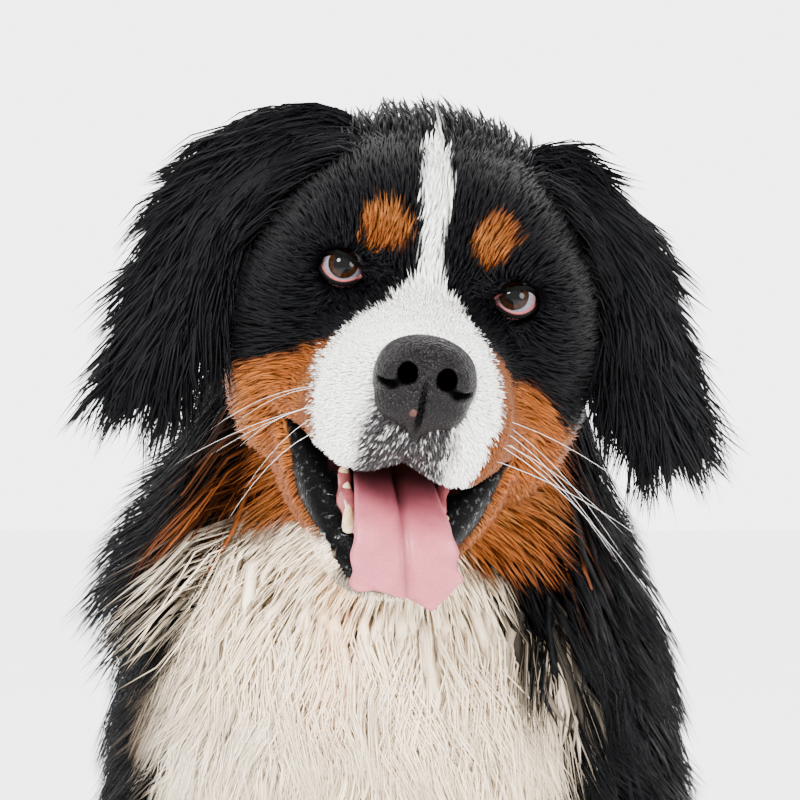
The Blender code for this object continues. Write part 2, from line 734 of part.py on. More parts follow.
def lids(side):
    """The two lids of an eye as one almond ring on the eyeball, in the head's frame."""
    reach = EYE_RADIUS + LID_OVER
    splay = turned("Z", EYE_SPLAY * side)
    rings = []
    for step in range(LID_STEPS):
        turn = 2 * math.pi * step / LID_STEPS
        out = LID_HALF[0] * math.cos(turn)
        up = LID_HALF[1] * math.sin(turn) * (1 - 0.25 * math.cos(turn) ** 2)
        ahead = math.sqrt(max(reach**2 - out**2 - up**2, (0.2 * reach) ** 2))
        centre = splay @ np.array([out * side, -ahead, up]) + eye_centre(side)
        away = splay @ unit([out * side, -ahead, up])
        around = splay @ unit([math.cos(turn) * side, 0, math.sin(turn)])
        ring = []
        for n in range(LID_SIDES):
            angle = 2 * math.pi * n / LID_SIDES
            ring.append(centre + LID_THICK * (math.cos(angle) * away + 1.5 * math.sin(angle) * around))
        rings.append(ring)
    points = np.array([head_to_world(p) for ring in rings for p in ring])
    faces = []
    for step in range(LID_STEPS):
        for n in range(LID_SIDES):
            a, b = step * LID_SIDES + n, step * LID_SIDES + (n + 1) % LID_SIDES
            c, d = (((step + 1) % LID_STEPS) * LID_SIDES + m for m in ((n + 1) % LID_SIDES, n))
            faces += [(a, b, c), (a, c, d)]
    made = object_from("lids", points, faces)
    shape = bmesh.new()
    shape.from_mesh(made.data)
    if shape.calc_volume(signed=True) < 0:
        bmesh.ops.reverse_faces(shape, faces=shape.faces[:])
    shape.to_mesh(made.data)
    shape.free()
    return made


def eyeball(name, side, radius):
    mesh = bpy.data.meshes.new(name)
    shape = bmesh.new()
    bmesh.ops.create_icosphere(shape, subdivisions=2, radius=radius)
    shape.to_mesh(mesh)
    shape.free()
    made = bpy.data.objects.new(name, mesh)
    bpy.context.scene.collection.objects.link(made)
    mesh.transform(Matrix.Translation(Vector(head_to_world(eye_centre(side)))))
    return made


NOSTRIL = (
    Limb(NOSE + (0.0088, -0.019, -0.002), NOSE + (0.0100, -0.007, -0.001), 0.0042, 0.0030, 0.004, 0.0, paired=True),
    Limb(NOSE + (0.0105, -0.018, -0.006), NOSE + (0.0190, -0.010, -0.010), 0.0026, 0.0016, 0.004, 0.0, paired=True),
)
PHILTRUM = Limb(NOSE + (0.0, -0.0205, -0.009), NOSE + (0.0, -0.0125, -0.027), 0.0010, 0.0014, 0.001, 0.0)
NOSE_FORMS = (
    Ball(NOSE, NOSE_RADII, 0.01, 0.0),
    Ball(NOSE + (0, 0.006, 0.0085), (0.0225, 0.0150, 0.0130), 0.010, 0.0),
    Ball(NOSE + (0.0145, 0.0035, -0.0030), (0.0125, 0.0150, 0.0125), 0.006, 0.0, paired=True),
)


def nose_field(p):
    """The nose leather, with its two comma nostrils and the groove below."""
    local = (p - EYE_MIDDLE) @ HEAD_AXES
    pad = joined(NOSE_FORMS, local, 0.0)
    pad = np.maximum(pad, (NOSE[1] - 0.0165) - local[:, 1])
    pad = hollowed(pad, joined(NOSTRIL, local, 0.0), 0.002)
    return hollowed(pad, PHILTRUM.distance(local, 0.0), 0.002)


TONGUE_ROUTE = (
    (0.000, 0.030, -0.098),
    (0.000, -0.015, -0.103),
    (0.002, -0.052, -0.108),
    (0.007, -0.073, -0.117),
    (0.013, -0.082, -0.130),
    (0.017, -0.083, -0.143),
    (0.020, -0.080, -0.153),
)
TONGUE_HALF_WIDTHS = (0.0190, 0.0215, 0.0225, 0.0250, 0.0280, 0.0270, 0.0170)
TONGUE_THICK = 0.0045
TONGUE_GROOVE = 0.0020
TONGUE_ACROSS = 6
TONGUE_TIP = 0.006
TONGUE_TOP = np.array([0.0, -1.0, 0.6])  # its upper face looks up in the mouth and ahead where it hangs


def tongue():
    """The tongue as flat rings along its way over the lower teeth and down."""
    route = [head_to_world(p) for p in TONGUE_ROUTE]
    rings = []
    for n, half in enumerate(TONGUE_HALF_WIDTHS):
        ahead = unit(route[min(n + 1, len(route) - 1)] - route[max(n - 1, 0)])
        across = unit(HEAD_AXES[:, 0] - (HEAD_AXES[:, 0] @ ahead) * ahead)
        up = np.cross(across, ahead)
        up = up * np.sign(up @ HEAD_AXES @ TONGUE_TOP)
        thick = TONGUE_THICK * (0.6 if n == len(route) - 1 else 1.0)
        ring = []
        for sign in (1, -1):
            for m in range(TONGUE_ACROSS + 1):
                u = (2 * m / TONGUE_ACROSS - 1) * sign
                if abs(u) == 1 and sign == -1:
                    continue
                body = thick * math.sqrt(max(1 - u * u, 0.0)) * sign
                inner = sign > 0 and 0 < n < len(route) - 1
                groove = TONGUE_GROOVE * math.exp(-((u / 0.22) ** 2)) * inner
                ring.append(route[n] + across * half * u + up * (body - groove))
        rings.append(ring)
    return lofted("tongue", rings, tip=route[-1] + unit(route[-1] - route[-2]) * TONGUE_TIP)


TEETH = (
    ((0.0165, -0.048, -0.127), (0.0205, -0.055, -0.103), 0.0050),
    ((0.0200, -0.034, -0.120), (0.0215, -0.035, -0.108), 0.0042),
    ((0.0235, -0.024, -0.116), (0.0255, -0.025, -0.103), 0.0046),
    ((0.0270, -0.013, -0.111), (0.0295, -0.014, -0.098), 0.0050),
)


def teeth():
    made = []
    for root, tip, radius in TEETH:
        for side in (1, -1):
            mirror = np.array([side, 1, 1])
            made.append(horn(head_to_world(root * mirror), head_to_world(tip * mirror), radius, (0, 0, 0)))
    return made


def jaw_region(gap=0.0):
    """All that is below the open mouth and ahead of the angle of the jaw."""
    made = half_space(*in_world(JAW_CUT), gap=gap)
    return combined(made, [half_space(*in_world(JAW_BACK), gap=gap)], "INTERSECT")


JAW_BACK = ((0.0, 0.045, -0.100), (0.0, -0.80, -0.60))  # in the head's frame, towards the chin


def head_nodes():
    """Head, lower jaw, nose, tongue and eyes."""
    nodes = {}
    for name, side in (("eye_left", 1), ("eye_right", -1)):
        nodes[name] = eyeball(name, side, EYE_RADIUS)
    nose_middle = head_to_world(NOSE)
    nodes["nose"] = flesh("nose", nose_middle - 0.034, nose_middle + 0.034, NOSE_STEP, NOSE_TRIANGLES, nose_field)
    nodes["tongue"] = tongue()
    whole = flesh("head", (-0.13, -0.42, 0.64), (0.155, -0.005, 0.95), HEAD_STEP, HEAD_TRIANGLES)
    combined(whole, [head_side()], "INTERSECT")
    nodes["lower_jaw"] = parted(whole, "lower_jaw", jaw_region(GAP), jaw_region())
    combined(nodes["lower_jaw"], teeth(), "UNION")
    combined(whole, [lids(1), lids(-1)], "UNION")
    nodes["head"] = largest_body(whole)
    return nodes


# Each ear: the middle of its leather from root to tip, its half widths there, and how far its hair reaches.
EAR_ROUTES = {
    "left": ((0.062, 0.082, 0.064), (0.102, 0.066, 0.062), (0.138, 0.052, 0.014), (0.148, 0.040, -0.062)),
    "right": ((-0.066, 0.082, 0.066), (-0.108, 0.066, 0.062), (-0.134, 0.052, 0.006), (-0.126, 0.040, -0.086)),
}
EAR_FACING = (0.50, -0.82, 0.28)  # the outer face of the left ear, in the head's frame
EAR_HALF_WIDTHS = (0.020, 0.027, 0.032, 0.033, 0.030, 0.024, 0.012)
EAR_THICK = 0.0036
EAR_CUP = 0.012
EAR_ACROSS = 6
EAR_LOCKS = 8
EAR_LOCK_LENGTH = 0.062
EAR_LOCK_WIDTH = 0.022
EAR_LOCK_THICK = 0.0070


def ear_frame(name, along):
    """A place on the middle of the ear with the ways along, across and out of its face."""
    side = 1 if name == "left" else -1
    facing = unit(np.array(EAR_FACING) * (side, 1, 1))
    centre = curve_point(EAR_ROUTES[name], along)
    ahead = unit(curve_point(EAR_ROUTES[name], along + 0.02) - curve_point(EAR_ROUTES[name], along - 0.02))
    across = unit(np.cross(facing, ahead))
    out = np.cross(ahead, across)
    return centre, ahead, across, out * np.sign(out @ facing)


def ear(name):
    """A hanging ear: a cupped leaf, with its root sunk in the skull."""
    steps = len(EAR_HALF_WIDTHS)
    rings = []
    for n, half in enumerate(EAR_HALF_WIDTHS):
        along = n / (steps - 1)
        centre, ahead, across, out = ear_frame(name, along)
        cup = EAR_CUP * (1 - 0.5 * along)
        ring = []
        for sign in (1, -1):
            for m in range(EAR_ACROSS + 1):
                u = (2 * m / EAR_ACROSS - 1) * sign
                if abs(u) == 1 and sign == -1:
                    continue
                body = EAR_THICK * math.sqrt(max(1 - u**4, 0.0)) * sign
                ring.append(head_to_world(centre + across * half * u + out * (body - cup * u * u)))
        rings.append(ring)
    return lofted("ear_" + name, rings)


def ear_locks(name, seed):
    """Locks along the rims and the tip of an ear, which hang past it."""
    chance = np.random.default_rng(seed)
    down = HEAD_AXES.T @ np.array([0.0, 0.0, -1.0])
    made = []
    for n in range(EAR_LOCKS):
        along = 0.30 + 0.62 * (n // 2) / (EAR_LOCKS / 2 - 1)
        rim = 1 if n % 2 else -1
        centre, ahead, across, out = ear_frame(name, along)
        half = np.interp(along, np.linspace(0, 1, len(EAR_HALF_WIDTHS)), EAR_HALF_WIDTHS)
        root = centre + across * half * rim * 0.62 - out * EAR_CUP * 0.3
        way = unit(ahead * 0.9 + across * rim * 0.45 + down * 0.35)
        length = EAR_LOCK_LENGTH * chance.uniform(0.85, 1.15)
        rings = []
        for share, wide, high in ((0.0, 0.7, 0.8), (0.35, 1.0, 1.0), (0.72, 0.8, 0.8)):
            way = unit(way + down * 0.25 * share)
            place = root + way * length * share
            sideways = unit(np.cross(out, way))
            across_half = sideways * EAR_LOCK_WIDTH * wide / 2
            up_half = np.cross(way, sideways) * EAR_LOCK_THICK * high / 2
            ring = [place + across_half, place + up_half, place - across_half, place - up_half]
            rings.append([head_to_world(p) for p in ring])
        made.append(lofted("lock", rings, head_to_world(root + way * length)))
    return made


TRUNK_STEP, TRUNK_TRIANGLES = 0.009, 4200
HEAD_STEP, HEAD_TRIANGLES = 0.0036, 3000
PAW_STEP, PAW_TRIANGLES = 0.0034, 330
NOSE_STEP, NOSE_TRIANGLES = 0.0013, 340


COATS = {
    "black": ((0.018, 0.018, 0.022), 0.55),
    "rust": ((0.36, 0.13, 0.035), 0.6),
    "white": ((0.78, 0.74, 0.68), 0.6),
    "nose": ((0.012, 0.011, 0.012), 0.25),
    "tongue": ((0.75, 0.30, 0.30), 0.35),
    "eye": ((0.045, 0.018, 0.008), 0.08),
}
FINISH = {"neck": "white", "lower_jaw": "rust", "nose": "nose", "tongue": "tongue"}
FINISH_BY_START = {"eye": "eye", "foreleg": "rust", "hindleg": "rust", "forepaw": "white", "hindpaw": "white"}


def finish(made):
    """Gives a node a material of its own."""
    colour, roughness = COATS[FINISH.get(made.name, FINISH_BY_START.get(made.name.split("_")[0], "black"))]
    material = bpy.data.materials.new(made.name)
    material.use_nodes = True
    shader = material.node_tree.nodes["Principled BSDF"]
    shader.inputs["Base Color"].default_value = (*colour, 1)
    shader.inputs["Roughness"].default_value = roughness
    shader.inputs["Metallic"].default_value = 0.0
    made.data.materials.clear()
    made.data.materials.append(material)
    made.data.shade_smooth()


LOCKS = {
    # node: how many locks, their length, width and thickness
    "neck": (26, 0.125, 0.066, 0.012),
    "chest": (22, 0.140, 0.080, 0.013),
    "hindquarters": (20, 0.130, 0.080, 0.013),
    "tail_root": (6, 0.110, 0.052, 0.012),
    "tail_tip": (7, 0.120, 0.048, 0.012),
    "hindleg_left": (6, 0.105, 0.058, 0.012),
    "hindleg_right": (6, 0.105, 0.058, 0.012),
    "foreleg_left": (4, 0.080, 0.034, 0.009),
    "foreleg_right": (4, 0.080, 0.034, 0.009),
    "head": (6, 0.055, 0.034, 0.008),
}
JOINED_TRIANGLES = {
    # node: about how many triangles it keeps once its locks are joined on
    "neck": 2000,
    "chest": 1900,
    "hindquarters": 1800,
    "tail_root": 480,
    "tail_tip": 480,
    "hindleg_left": 780,
    "hindleg_right": 780,
    "foreleg_left": 420,
    "foreleg_right": 420,
    "head": 2350,
    "lower_jaw": 700,
    "ear_left": 400,
    "ear_right": 400,
}
ORDER = (
    "eye_left eye_right nose tongue head lower_jaw ear_left ear_right neck forepaw_left forepaw_right "
    "hindpaw_left hindpaw_right foreleg_left foreleg_right hindleg_left hindleg_right tail_tip tail_root "
    "chest hindquarters"
).split()


def allowed_on(name):
    """Where on a node the long coat grows."""

    def on_head(p):
        local = (p - EYE_MIDDLE) @ HEAD_AXES
        return (np.abs(local[:, 0]) > 0.045) & (local[:, 1] > 0.035) & (local[:, 2] < -0.015)

    def on_foreleg(p):
        return (p[:, 2] > 0.13) & (slope_of(p, CORE_SHARE)[:, 1] > 0.35)

    def on_hindleg(p):
        return (p[:, 2] > 0.15) & (np.abs(slope_of(p, CORE_SHARE)[:, 0]) > 0.2)

    def on_trunk(p):
        return (p[:, 2] > 0.07) & (slope_of(p, CORE_SHARE)[:, 2] > -0.75)

    start = name.split("_")[0]
    return {"head": on_head, "foreleg": on_foreleg, "hindleg": on_hindleg}.get(start, on_trunk)


def bounds(made):
    corners = np.array([vert.co for vert in made.data.vertices])
    return corners.min(axis=0), corners.max(axis=0)


def near(a, b, reach=GAP):
    (low_a, high_a), (low_b, high_b) = bounds(a), bounds(b)
    return bool((low_a - reach < high_b).all() and (low_b - reach < high_a).all())


def wall_of(made, by):
    """The surface of a node moved out, for what has to stay clear of it."""
    wider = grown(made, by)
    tree = tree_of(wider)
    bpy.data.objects.remove(wider)
    return tree


def fitted(nodes):
    """Gives each node its locks, clear of every other node, then cuts it clear of the nodes before it."""
    done = []
    for seed, name in enumerate(ORDER):
        made = nodes[name]
        others = [nodes[other] for other in ORDER if other != name and near(made, nodes[other], LOCK_REACH)]
        if name in LOCKS:
            walls = [wall_of(other, LOCK_CLEARANCE) for other in others]
            combined(made, locks(made, *LOCKS[name], seed * 10, allowed_on(name), walls), "UNION")
        if name.startswith("ear"):
            combined(made, ear_locks(name.removeprefix("ear_"), seed), "UNION")
        if name in JOINED_TRIANGLES:
            simplified(made, JOINED_TRIANGLES[name], [tree_of(other) for other in others])
        for other in done:
            if near(made, other) and tree_of(made).overlap(tree_of(other)):
                combined(made, [grown(other, CLEARANCE)], "DIFFERENCE")
        done.append(largest_body(made))


def main():
    for made in list(bpy.data.objects):
        bpy.data.objects.remove(made)
    nodes = trunk_nodes()
    nodes.update(head_nodes())
    for name, side in (("left", 1), ("right", -1)):
        nodes["forepaw_" + name] = paw("forepaw_" + name, FOREPAW, FOREPAW_BOX, side)
        nodes["hindpaw_" + name] = paw("hindpaw_" + name, HINDPAW, HINDPAW_BOX, side)
        nodes["ear_" + name] = ear(name)
    fitted(nodes)
    corners = np.array([bounds(made) for made in nodes.values()])
    low, high = corners[:, 0].min(axis=0), corners[:, 1].max(axis=0)
    to_origin = Matrix.Translation((-(low[0] + high[0]) / 2, -(low[1] + high[1]) / 2, 0.0))
    for name, made in nodes.items():
        made.name = name
        made.data.transform(to_origin)
        finish(made)


if __name__ == "__main__":
    main()
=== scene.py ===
"""The looks of a sitting Bernese mountain dog: a still, life-size model, in metres, +Z up, facing -Y.

One skin follows the same rounded volumes as the solids, without the coat. Fur is solid mesh: flat tapered
tufts rooted on the skin, which follow the lie of the coat. Skin and fur share one function of markings.
"""

import itertools
import math

import bpy
import numpy as np
from mathutils import Matrix, Vector
from mathutils.kdtree import KDTree


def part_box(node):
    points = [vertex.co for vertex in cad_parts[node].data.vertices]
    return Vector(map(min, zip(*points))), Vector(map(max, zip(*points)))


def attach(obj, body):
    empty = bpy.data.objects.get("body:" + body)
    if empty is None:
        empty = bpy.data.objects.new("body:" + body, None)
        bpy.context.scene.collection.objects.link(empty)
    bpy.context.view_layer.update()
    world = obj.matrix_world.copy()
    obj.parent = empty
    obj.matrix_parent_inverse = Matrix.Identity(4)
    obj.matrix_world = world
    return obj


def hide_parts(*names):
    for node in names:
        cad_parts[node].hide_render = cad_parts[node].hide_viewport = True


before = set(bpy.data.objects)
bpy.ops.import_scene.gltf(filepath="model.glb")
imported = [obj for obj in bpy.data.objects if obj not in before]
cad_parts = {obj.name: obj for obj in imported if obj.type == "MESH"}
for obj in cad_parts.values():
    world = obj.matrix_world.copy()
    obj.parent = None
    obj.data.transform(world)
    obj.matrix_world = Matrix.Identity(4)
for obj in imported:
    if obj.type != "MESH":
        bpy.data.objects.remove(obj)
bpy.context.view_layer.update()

# The head's own frame: origin midway between the eyes, X to the dog's left, -Y to the nose, Z up.
EYE_MIDDLE = np.array([0.018, -0.255, 0.830])
HEAD_TILT = math.radians(10.7)
HEAD_TURN = math.radians(1.7)
HEAD_NOD = math.radians(4.0)
EYE = np.array([0.0455, 0.0050, 0.0])  # the dog's left one, which the right one mirrors
EYE_RADIUS = 0.0118
NOSE = np.array([0.0, -0.121, -0.0370])
NOSE_RADII = np.array([0.0262, 0.0175, 0.0228])
MOUTH_CORNER = np.array([0.0, 0.010, -0.080])
MOUTH_OPEN = math.radians(29.0)
CHIN = np.array([0.0, -0.054, -0.142])
TAIL_ROUTE = ((0.0, 0.415, 0.125), (0.0, 0.530, 0.030), (0.070, 0.680, 0.052), (0.235, 0.740, 0.046))
SIDES = {"left": 1, "right": -1}


def turned(axis, angle):
    return np.array(Matrix.Rotation(angle, 3, axis))


HEAD_AXES = turned("Z", HEAD_TURN) @ turned("X", HEAD_NOD) @ turned("Y", HEAD_TILT)


def head_to_world(point):
    return np.asarray(point, float) @ HEAD_AXES.T + EYE_MIDDLE


def to_head(p):
    return (p - EYE_MIDDLE) @ HEAD_AXES


def unit(vector):
    vector = np.asarray(vector, float)
    return vector / np.maximum(np.linalg.norm(vector, axis=-1, keepdims=True), 1e-9)


def ramp(x, low, high):
    """0 below low, 1 above high, and smooth between."""
    t = np.clip((x - low) / (high - low), 0.0, 1.0)
    return t * t * (3 - 2 * t)


def fall(x, low, high):
    """1 below low, 0 above high, and smooth between."""
    return 1 - ramp(x, low, high)


def blended(a, b, reach):
    """The union of two distances, rounded where they differ by less than a reach."""
    share = np.maximum(reach - np.abs(a - b), 0.0) / reach
    return np.minimum(a, b) - share * share * reach * 0.25


def hollowed(body, hole, reach):
    """A body without a hole, its rim rounded."""
    return -blended(-body, hole, reach)


class Ball:
    """An ellipsoid. lean turns it about X, and positive tips its top towards -Y."""

    def __init__(self, centre, radii, blend=0.0, coat=0.0, lean=0.0, paired=False, lie=(0, 0.3, -1)):
        self.centre = np.array(centre, float)
        self.radii = np.array(radii, float)
        self.axes = turned("X", math.radians(lean))
        self.blend, self.coat, self.paired, self.lie = blend, coat, paired, np.array(lie, float)

    def distance(self, p):
        local = (p - self.centre) @ self.axes
        near = np.linalg.norm(local / self.radii, axis=1)
        slope = np.linalg.norm(local / (self.radii * self.radii), axis=1)
        return near * (near - 1.0) / np.maximum(slope, 1e-9)


class Limb:
    """A round bar that tapers from start to end."""

    def __init__(self, start, end, radius, end_radius, blend=0.0, coat=0.0, paired=False, lie=(0, 0.3, -1)):
        self.start, self.end = np.array(start, float), np.array(end, float)
        self.radius, self.end_radius = radius, end_radius
        self.blend, self.coat, self.paired, self.lie = blend, coat, paired, np.array(lie, float)

    def distance(self, p):
        way = self.end - self.start
        along = np.clip((p - self.start) @ way / (way @ way), 0.0, 1.0)
        off = np.linalg.norm(p - self.start - along[:, None] * way, axis=1)
        return off - (self.radius + (self.end_radius - self.radius) * along)


DOWN = (0, 0.15, -1)
BACK_AND_DOWN = (0, 0.55, -0.85)


def leg_part(start, end, radii, blend, coat, lie=DOWN):
    return Limb(start, end, *radii, blend, coat, paired=True, lie=lie)


BODY = (
    Ball((0, 0.055, 0.435), (0.125, 0.142, 0.250), 0.05, 0.034, lean=38.5, lie=BACK_AND_DOWN),
    Ball((0, -0.100, 0.475), (0.112, 0.085, 0.118), 0.06, 0.050, lie=(0, -0.15, -1)),
    Ball((0.083, -0.035, 0.535), (0.056, 0.093, 0.130), 0.05, 0.036, -20, paired=True, lie=(0, 0.35, -1)),
    leg_part((0.096, -0.110, 0.455), (0.106, -0.035, 0.350), (0.062, 0.050), 0.04, 0.028),
    Limb((0, 0.175, 0.352), (0, 0.325, 0.215), 0.114, 0.130, 0.06, 0.036, lie=BACK_AND_DOWN),
    Ball((0, 0.130, 0.245), (0.100, 0.125, 0.085), 0.05, 0.030, lean=35, lie=(0, 0.2, -1)),
    Ball((0, 0.335, 0.165), (0.140, 0.122, 0.150), 0.06, 0.040, lie=(0, 0.4, -1)),
    leg_part((0.100, 0.275, 0.175), (0.150, 0.105, 0.225), (0.100, 0.066), 0.05, 0.034, (0, 0.5, -0.85)),
    leg_part((0.160, 0.100, 0.210), (0.146, 0.240, 0.075), (0.052, 0.036), 0.03, 0.018, (0, 0.4, -0.9)),
    leg_part((0.146, 0.240, 0.050), (0.165, 0.105, 0.038), (0.036, 0.030), 0.02, 0.010, (0, -0.4, -0.9)),
    leg_part((0.106, -0.045, 0.345), (0.104, -0.108, 0.140), (0.044, 0.030), 0.03, 0.014),
    leg_part((0.104, -0.108, 0.140), (0.106, -0.128, 0.060), (0.030, 0.032), 0.02, 0.010),
    Limb((0, -0.025, 0.585), (0.010, -0.105, 0.765), 0.108, 0.074, 0.05, 0.040, lie=(0, 0.10, -1)),
    Ball((0.004, -0.125, 0.625), (0.076, 0.056, 0.085), 0.05, 0.050, lie=(0, -0.10, -1)),
)

TAIL_STEPS = 7
TAIL_RADII = (0.036, 0.012)
TAIL_COAT = 0.032


def curve_point(route, along):
    a, b, c, d = (np.array(point) for point in route)
    back = 1.0 - along
    return back**3 * a + 3 * back**2 * along * b + 3 * back * along**2 * c + along**3 * d


def tail_forms():
    """The tail as short bars along its curve."""
    forms = []
    for step in range(TAIL_STEPS):
        ends = np.array([step, step + 1]) / TAIL_STEPS
        a, b = (curve_point(TAIL_ROUTE, end) for end in ends)
        radii = TAIL_RADII[0] + (TAIL_RADII[1] - TAIL_RADII[0]) * ends
        forms.append(Limb(a, b, *radii, 0.03, TAIL_COAT, lie=b - a))
    return tuple(forms)


FOREPAW = np.array([0.108, -0.140, 0.0])
HINDPAW = np.array([0.172, 0.062, 0.0])
PAW_RADII = (0.040, 0.046, 0.034)
TOE_RADII = (0.0150, 0.0290, 0.0195)
TOE_OUT = (-0.0300, -0.0105, 0.0105, 0.0300)
TOE_AHEAD = (0.024, 0.038, 0.038, 0.024)
TOE_HEIGHT = 0.0200


def paw_forms(place):
    """A paw and its four toes."""
    forms = [Ball(place + (0, -0.004, 0.034), PAW_RADII, 0.02, 0.006, paired=True, lie=(0, -1, -0.6))]
    for out, ahead in zip(TOE_OUT, TOE_AHEAD):
        centre = place + (out, -ahead, TOE_HEIGHT)
        forms.append(Ball(centre, TOE_RADII, 0.006, 0.004, lean=14, paired=True, lie=(0, -1, -0.4)))
    return tuple(forms)


HEAD = (
    Ball((0, 0.084, 0.004), (0.077, 0.092, 0.066), 0.02, 0.016),
    Ball((0.028, 0.036, 0.019), (0.040, 0.044, 0.034), 0.02, 0.009, paired=True),
    Ball((0.044, 0.010, 0.012), (0.022, 0.018, 0.013), 0.016, 0.005, paired=True),
    Ball((0.062, 0.052, -0.022), (0.026, 0.056, 0.036), 0.03, 0.012, paired=True),
    Ball((0.062, 0.056, -0.064), (0.026, 0.044, 0.042), 0.03, 0.024, paired=True),
    Limb((0, 0.004, -0.037), (0, -0.100, -0.047), 0.034, 0.029, 0.024, 0.004),
    Limb((0.021, -0.002, -0.050), (0.017, -0.090, -0.052), 0.031, 0.027, 0.02, 0.004, paired=True),
    Ball((0.0255, -0.078, -0.0640), (0.0190, 0.036, 0.0272), 0.014, 0.004, paired=True),
    Limb((0.034, -0.058, -0.070), (0.054, 0.004, -0.074), 0.0140, 0.0100, 0.018, 0.004, paired=True),
)
JAW = (
    Limb((0.048, 0.060, -0.080), (0.014, -0.044, -0.136), 0.0240, 0.0140, 0.02, 0.006, paired=True),
    Ball(CHIN, (0.023, 0.020, 0.015), 0.016, 0.008),
    Limb((0.0500, 0.006, -0.092), (0.0250, -0.046, -0.134), 0.0090, 0.0080, 0.012, 0.002, paired=True),
    Ball((0, 0.035, -0.112), (0.046, 0.070, 0.036), 0.03, 0.016),
)


MOUTH_RISE = math.radians(-6.0)


def roof_of(p):
    """How far above the plane of the upper lips a point lies."""
    back = p - MOUTH_CORNER
    return back[:, 2] * math.cos(MOUTH_RISE) + back[:, 1] * math.sin(MOUTH_RISE)


def wedge(p):
    """The open mouth as a wedge that grows forward from the corners of the lips."""
    back = p - MOUTH_CORNER
    floor = -back[:, 2] * math.cos(MOUTH_OPEN) + back[:, 1] * math.sin(MOUTH_OPEN)
    return np.maximum(roof_of(p), floor)


MOUTH_HOLLOW = Limb((0, 0.006, -0.084), (0, -0.050, -0.119), 0.036, 0.018)
PALATE = -0.072  # the hollow reaches up to here
NOSE_SEAT = Ball(NOSE + (0, -0.002, 0.001), NOSE_RADII * 0.78)  # the leather fills it
LIP_NOTCH = Limb((0, -0.150, -0.072), (0, -0.110, -0.092), 0.0030, 0.0175)
SOCKET = Ball(EYE + (0, -0.010, -0.001), (0.0150, 0.0140, 0.0105))


def mouth_hollow(local):
    return np.maximum(MOUTH_HOLLOW.distance(local), local[:, 2] - PALATE)


def mirrored(p):
    return np.column_stack((np.abs(p[:, 0]), p[:, 1], p[:, 2]))


def joined(forms, p):
    """The distance from forms that blend into each other."""
    both = mirrored(p)
    total = None
    for form in forms:
        d = form.distance(both if form.paired else p)
        total = d if total is None else blended(total, d, form.blend)
    return total


def head_field(p):
    local = to_head(p)
    whole = blended(joined(HEAD, local), joined(JAW, local), 0.012)
    whole = hollowed(whole, wedge(local), 0.006)
    whole = hollowed(whole, mouth_hollow(local), 0.006)
    whole = hollowed(whole, LIP_NOTCH.distance(local), 0.006)
    whole = hollowed(whole, NOSE_SEAT.distance(local), 0.002)
    return hollowed(whole, SOCKET.distance(mirrored(local)), 0.010)


TRUNK = BODY + tail_forms()
PAWS = paw_forms(FOREPAW) + paw_forms(HINDPAW)
HEAD_REACH = 0.30  # farther than this from the eyes the head has no part in the field


def field(p):
    """Distance in metres from the skin."""
    body = blended(joined(TRUNK, p), joined(PAWS, p), 0.014)
    near = np.linalg.norm(p - EYE_MIDDLE, axis=1) < HEAD_REACH
    if near.any():
        body[near] = blended(body[near], head_field(p[near]), 0.04)
    return body


SOLE = 0.0012


def skin_distance(p):
    """The field, cut flat just above the floor."""
    return np.maximum(field(p), SOLE - p[:, 2])


def tetrahedra():
    """The six tetrahedra that fill a cube, by the cube's corners."""
    found = []
    for order in itertools.permutations(range(3)):
        corners = [np.zeros(3, int)]
        for axis in order:
            corners.append(corners[-1] + np.eye(3, dtype=int)[axis])
        if np.linalg.det(np.array(corners[1:])) < 0:
            corners[1], corners[2] = corners[2], corners[1]
        found.append(corners)
    return found


def is_odd(order):
    return sum(a > b for a, b in itertools.combinations(order, 2)) % 2 == 1


NEAR_CORNER = 0.04  # a point stays this share of an edge away from its ends


def corners_of(values):
    """What a grid holds at each of the eight corners of all its cells."""
    ends = [n - 1 for n in values.shape]
    for i, j, k in itertools.product((0, 1), repeat=3):
        yield values[i : i + ends[0], j : j + ends[1], k : k + ends[2]]


def grid_points(axes, steps):
    """The points that lie so many steps along each axis."""
    return np.stack([axes[n][steps[:, n]] for n in range(3)], axis=1)


def closed_surface(values, axes):
    """The zero surface of values on a grid, as points and triangles that always close."""
    counts = values.shape
    flat = values.ravel()
    total = len(flat)

    def edge(u, v):
        return np.minimum(u, v) * total + np.maximum(u, v)

    def place(ids):
        return grid_points(axes, np.stack(np.unravel_index(ids, counts), axis=1))

    cell_count = sum(corner.astype(np.int8) for corner in corners_of(values < 0))
    cells = np.argwhere((cell_count > 0) & (cell_count < 8))
    strides = np.array([counts[1] * counts[2], counts[2], 1])
    triangles = []
    for corners in tetrahedra():
        ids = np.stack([(cells + corner) @ strides for corner in corners], axis=1)
        below = flat[ids] < 0
        kinds = below @ np.array([1, 2, 4, 8])
        for kind in range(1, 15):
            rows = ids[kinds == kind]
            low = [n for n in range(4) if kind >> n & 1]
            high = [n for n in range(4) if not kind >> n & 1]
            order = high + low if len(low) == 3 else low + high
            flip = is_odd(order) != (len(low) == 3)
            a, b, c, d = (rows[:, n] for n in order)
            if len(low) == 2:
                ring = [edge(a, c), edge(a, d), edge(b, d), edge(b, c)]
                parts = [(0, 1, 2), (0, 2, 3)]
            else:
                ring = [edge(a, b), edge(a, c), edge(a, d)]
                parts = [(0, 1, 2)]
            for part in parts:
                chosen = [ring[n] for n in (part[::-1] if flip else part)]
                triangles.append(np.stack(chosen, axis=1))
    triangles = np.concatenate(triangles)
    edges, faces = np.unique(triangles.ravel(), return_inverse=True)
    start, end = edges // total, edges % total
    share = np.clip(flat[start] / (flat[start] - flat[end]), NEAR_CORNER, 1 - NEAR_CORNER)
    points = place(start) + share[:, None] * (place(end) - place(start))
    return points, faces.reshape(-1, 3)


